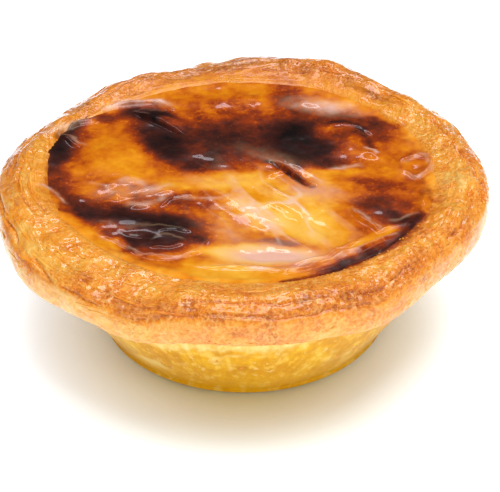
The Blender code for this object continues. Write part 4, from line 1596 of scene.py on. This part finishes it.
# %% Finish of the loose pieces
flake_finish, nodes, shader = new_material("loose_flakes")
mottle = grouped(nodes, mottling, Size=1.5)
tone = nodes.times(nodes.stored("tone"), 0.10)
toast = nodes.plus(nodes.times(mottle.outputs["Mottle"], 0.08), tone)
toast = nodes.plus(toast, nodes.times(nodes.stored("toast"), 0.85), clamp=True)
colour = grouped(nodes, dough_browning, Toast=toast).outputs["Colour"]
grain = grouped(nodes, crust_grain, Scale=2600.0).outputs["Height"]
bump = nodes.bump(grain, 0.3, 0.15 * MM)
wire(
    nodes,
    shader,
    Base_Color=colour,
    Roughness=nodes.spread(mottle.outputs["Speckle"], 0.0, 1.0, 0.40, 0.55),
    Coat_Weight=0.15,
    Coat_Roughness=0.2,
    Normal=bump,
)
arrange(nodes.tree)

# %% Grow the loose pieces
leaves = grown_piece(
    "loose_leaves",
    leaf_tree,
    {"Lip": lip, "Leaves": 50, "Longest": 7 * MM, "Widest": 0.7 * MM, "Finish": flake_finish},
)
crumbs = grown_piece(
    "lip_crumbs",
    scatter_tree,
    {
        "Surface": lip,
        "Where": "grain",
        "Density": 7.0e6,
        "Smallest": 0.06 * MM,
        "Largest": 0.19 * MM,
        "Thickness": 0.5,
        "Finish": flake_finish,
    },
)
wall_flakes = grown_piece(
    "wall_flakes",
    scatter_tree,
    {
        "Surface": cup,
        "Where": "flecks",
        "Density": 1.2e5,
        "Smallest": 0.15 * MM,
        "Largest": 0.4 * MM,
        "Thickness": 0.08,
        "Stretch": 1.8,
        "Seed": 9,
        "Finish": flake_finish,
    },
)

# %% [markdown]
# ## Floor, light and camera
#
# The tart stands on a white floor. A large softbox overhead lights it, and a narrow one behind adds wet
# glints, since light that comes from beyond glances off ridges towards the eye. A wide low one in front fills
# the near lip and wall and gives no glints, and two weak ones fill the sides. The floor also glows, a painted
# light that grows in an oval away from the tart: it paints the soft edge of the shadow and whitens the rest.

# %% Floor and world
FLOOR_REACH = 2
# Where the floor's painted glow starts and is full, as radii of an oval round the tart that bounds the
# shadow, and its colours there
GLOW_STARTS, GLOW_FULL = 22 * MM, 48 * MM
GLOW_TINTS = ((0.03, 0.04, 0.01, 1), (0.64, 0.72, 0.86, 1))

floor_mesh = bpy.data.meshes.new("floor")
corners = [(x * FLOOR_REACH, y * FLOOR_REACH, 0) for x, y in ((-1, -1), (1, -1), (1, 1), (-1, 1))]
floor_mesh.from_pydata(corners, [], [(0, 1, 2, 3)])
floor = bpy.data.objects.new("floor", floor_mesh)
bpy.context.scene.collection.objects.link(floor)
floor_finish, nodes, shader = new_material("white_floor")
place = nodes.place()
place = nodes.scaled(place, (1.17, 0.91, 1.0))
from_middle = nodes.add("ShaderNodeVectorMath", {0: place}, operation="LENGTH")
glow = nodes.mix(nodes.spread(from_middle.outputs["Value"], GLOW_STARTS, GLOW_FULL), *GLOW_TINTS)
wire(
    nodes,
    shader,
    Base_Color=(0.83, 0.92, 0.90, 1),
    Roughness=0.9,
    Specular_IOR_Level=0.1,
    Emission_Color=glow,
    Emission_Strength=1.0,
)
arrange(nodes.tree)
floor_mesh.materials.append(floor_finish)

world = bpy.data.worlds.new("studio")
world.use_nodes = True
background = world.node_tree.nodes["Background"].inputs
background["Color"].default_value = (1, 1, 1, 1)
background["Strength"].default_value = 0.05
bpy.context.scene.world = world


# %% Softboxes
LIT_HEIGHT = 0.02  # the lamps face this height above the floor


def softbox(name, place, width, height, power, colour=(1, 1, 1), glints=True):
    """A rectangular lamp that faces the tart, and is mirrored by its glaze unless it gives no glints."""
    lamp = bpy.data.lights.new(name, "AREA")
    lamp.shape = "RECTANGLE"
    lamp.size, lamp.size_y = width, height
    lamp.energy = power
    lamp.color = colour
    holder = bpy.data.objects.new(name, lamp)
    holder.location = place
    holder.visible_glossy = glints
    away = Vector(place) - Vector((0, 0, LIT_HEIGHT))
    holder.rotation_euler = away.to_track_quat("Z", "Y").to_euler()
    bpy.context.scene.collection.objects.link(holder)


softbox("back_softbox", (0.05, 0.40, 0.50), 0.40, 0.06, 0.60, (0.96, 0.92, 1.0))
softbox("top_softbox", (0.05, -0.04, 0.60), 0.44, 0.44, 3.8)
softbox("front_fill", (0.0, -0.60, 0.15), 1.00, 0.20, 1.35, glints=False)
softbox("left_fill", (-0.50, -0.25, 0.20), 0.30, 0.25, 0.15)
softbox("right_fill", (0.50, -0.25, 0.20), 0.30, 0.25, 0.45)

# %% Camera
LENS = 182.07
CAMERA_DISTANCE = 0.42
CAMERA_ELEVATION = radians(34)

camera_data = bpy.data.cameras.new("camera")
camera_data.sensor_width = 36
camera_data.lens = LENS
camera = bpy.data.objects.new("camera", camera_data)
look_at = Vector((0.001, 0, 0.0132))
backwards = Vector((0, -cos(CAMERA_ELEVATION), sin(CAMERA_ELEVATION)))
camera.location = look_at + CAMERA_DISTANCE * backwards
camera.rotation_euler = (pi / 2 - CAMERA_ELEVATION, 0, 0)
bpy.context.scene.collection.objects.link(camera)
bpy.context.scene.camera = camera
bpy.context.scene.view_settings.view_transform = "Standard"

# %% [markdown]
# ## Hand the pieces over
#
# Each piece rides on the tart's one body. The lip and the cup together stand for the solid shell, and the
# custard for the solid filling.

# %% Pieces and the end
for piece in (lip, cup, leaves, crumbs, wall_flakes):
    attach(piece, "root")
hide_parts("pastry_shell")
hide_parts("pastry_shell")
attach(custard, "root")
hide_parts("custard")
